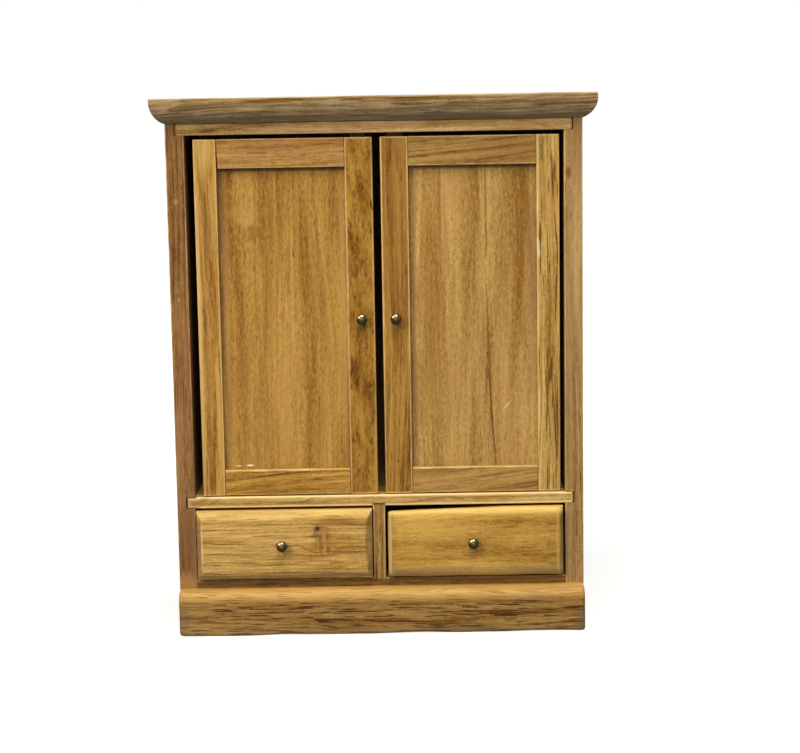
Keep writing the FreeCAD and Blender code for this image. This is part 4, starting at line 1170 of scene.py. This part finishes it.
# %% Old brass
# The patina is also a painted dark reflection, and the rubbed brass a painted highlight.
PATINA_AND_DARK_REFLECTION = "5c5436"
RUBBED_AND_HIGHLIT_BRASS = "a8986a"
BLACKENED = "2a221a"
GRIME = "1c180c"
FINGERTIP_AND_HIGHLIGHT = (-0.4, 0.0, 0.95)
RUB_AND_HIGHLIGHT_EDGE, RUB_AND_HIGHLIGHT_CORE = 1.0, 0.5
GRIMY_FROM, GRIMY_TO = 1.4, 1.5
GROOVE_REACH = 0.1
CLOUD_SCALE, CLOUD_REACH = 1.8, 0.3
TOOL_RING_SCALE, TOOL_RING_DEPTH = 2.2, 0.02 * MM


def antique_brass(name, middle, rubbed=RUBBED_AND_HIGHLIT_BRASS, patina=PATINA_AND_DARK_REFLECTION):
    """Turned brass, lacquer gone: patina that is also a painted dark reflection, rubbed
    bright where a fingertip pulls, on the upper left of the chamfer, where it is also a
    painted highlight, and grime in the groove round the face and at the rim."""
    material, tree = new_material(name)
    centred = {
        "Vector": add(tree, "TexCoord").outputs["Object"],
        "Location": -Vector(middle),
        "Scale": (1 / MM,) * 3,
    }
    place = add(tree, "Mapping", centred)
    across = add(tree, "VectorMath", {0: place, 1: (1, 0, 1)}, operation="MULTIPLY")
    radius = add(tree, "VectorMath", {0: across}, operation="LENGTH").outputs["Value"]
    cloud = add(tree, "TexNoise", {"Vector": place, "Scale": CLOUD_SCALE, "Detail": 3.0})
    from_fingertip_and_highlight = {0: across, 1: FINGERTIP_AND_HIGHLIGHT}
    away = add(tree, "VectorMath", from_fingertip_and_highlight, operation="DISTANCE").outputs["Value"]
    touch_and_highlight = {"Value": away, "From Min": RUB_AND_HIGHLIGHT_EDGE, "From Max": RUB_AND_HIGHLIGHT_CORE}
    worn_and_highlit = add(tree, "MapRange", touch_and_highlight)
    off_face = add(tree, "Math", {0: radius, 1: FACE_RADIUS}, operation="GREATER_THAN")
    bright = add(tree, "Math", {0: worn_and_highlit, 1: off_face}, operation="MULTIPLY")
    metal = {"Factor": bright, "A": srgb(patina), "B": srgb(rubbed)}
    outward = add(tree, "Math", {0: cloud, 1: CLOUD_REACH, 2: radius}, operation="MULTIPLY_ADD")
    rim = add(tree, "MapRange", {"Value": outward, "From Min": GRIMY_FROM, "From Max": GRIMY_TO})
    near = {0: radius, 1: FACE_RADIUS, 2: GROOVE_REACH}
    groove = add(tree, "Math", near, operation="COMPARE")
    dirt = add(tree, "Math", {0: rim, 1: groove}, operation="MAXIMUM")
    clear = add(tree, "Mix", metal, data_type="RGBA")
    colour = {"Factor": dirt, "A": clear, "B": srgb(GRIME)}
    turned = {"Vector": across, "Scale": TOOL_RING_SCALE, "Distortion": 0.4}
    rings = add(tree, "TexWave", turned, wave_type="RINGS", rings_direction="Y")
    relief = {"Height": rings, "Strength": 0.15, "Distance": TOOL_RING_DEPTH}
    dull = {"Value": radius, "From Min": 0.8, "From Max": 1.0, "To Min": 0.50, "To Max": 0.30}
    brass = {
        "Base Color": add(tree, "Mix", colour, data_type="RGBA"),
        "Metallic": 1.0,
        "Roughness": add(tree, "MapRange", dull),
        "Normal": add(tree, "Bump", relief),
    }
    add(tree, "OutputMaterial", {"Surface": add(tree, "BsdfPrincipled", brass)})
    return material


# The rub on the chamfer is also a painted highlight.
print("a fingertip reaches", RUB_AND_HIGHLIGHT_EDGE, "mm over the chamfer")

# %% [markdown]
# ### Four knobs and four pins
# The profile turns round a level axis through the middle of the construction's knob. The
# pins keep their mesh and are blackened brass all over, as only their heads show.

# %% Knobs and pins
ROUND_STEPS = 56


def make_knob(node, body):
    """Rings of the profile round a level axis, and a point to close each end."""
    low, high = box_mm(node)
    middle = (low + high) / 2
    wood = low[1] + KNOB_REACH
    profile = knob_profile()
    turn = np.linspace(0, 2 * math.pi, ROUND_STEPS, endpoint=False)
    height, radius = profile[:, 0, None], profile[:, 1, None]
    out = np.broadcast_to(wood - height, (len(profile), ROUND_STEPS))
    around = (middle[0] + radius * np.cos(turn), out, middle[2] + radius * np.sin(turn))
    rings = np.stack(around, axis=-1).reshape(-1, 3)
    poles = [[middle[0], wood + KNOB_SHANK, middle[2]], [middle[0], low[1], middle[2]]]
    points = np.clip(np.concatenate([rings, poles]), low, high)
    index = np.arange(len(rings)).reshape(len(profile), ROUND_STEPS)
    onward = np.roll(index, -1, axis=1)
    quads = np.stack([index[:-1], index[1:], onward[1:], onward[:-1]], axis=-1)
    back_pole, front_pole = len(rings), len(rings) + 1
    back = np.stack([index[0], onward[0], np.full(ROUND_STEPS, back_pole)], axis=-1)
    front = np.stack([onward[-1], index[-1], np.full(ROUND_STEPS, front_pole)], axis=-1)
    faces = quads.reshape(-1, 4).tolist() + back.tolist() + front.tolist()
    finish = antique_brass(f"{node}_brass", middle)
    return piece(f"{node}_turned", points, faces, body, finish, node)


KNOB_BODIES = ("left_door", "right_door", "left_drawer", "right_drawer")
for body in KNOB_BODIES:
    make_knob(f"{body}_knob", body)
for side_name in ("left", "right"):
    for end in ("upper", "lower"):
        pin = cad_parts[f"{side_name}_{end}_pin"]
        finish = antique_brass(f"{pin.name}_brass", (0, 0, 0), rubbed=BLACKENED, patina=BLACKENED)
        pin.material_slots[0].material = finish
print("knobs:", len(KNOB_BODIES))
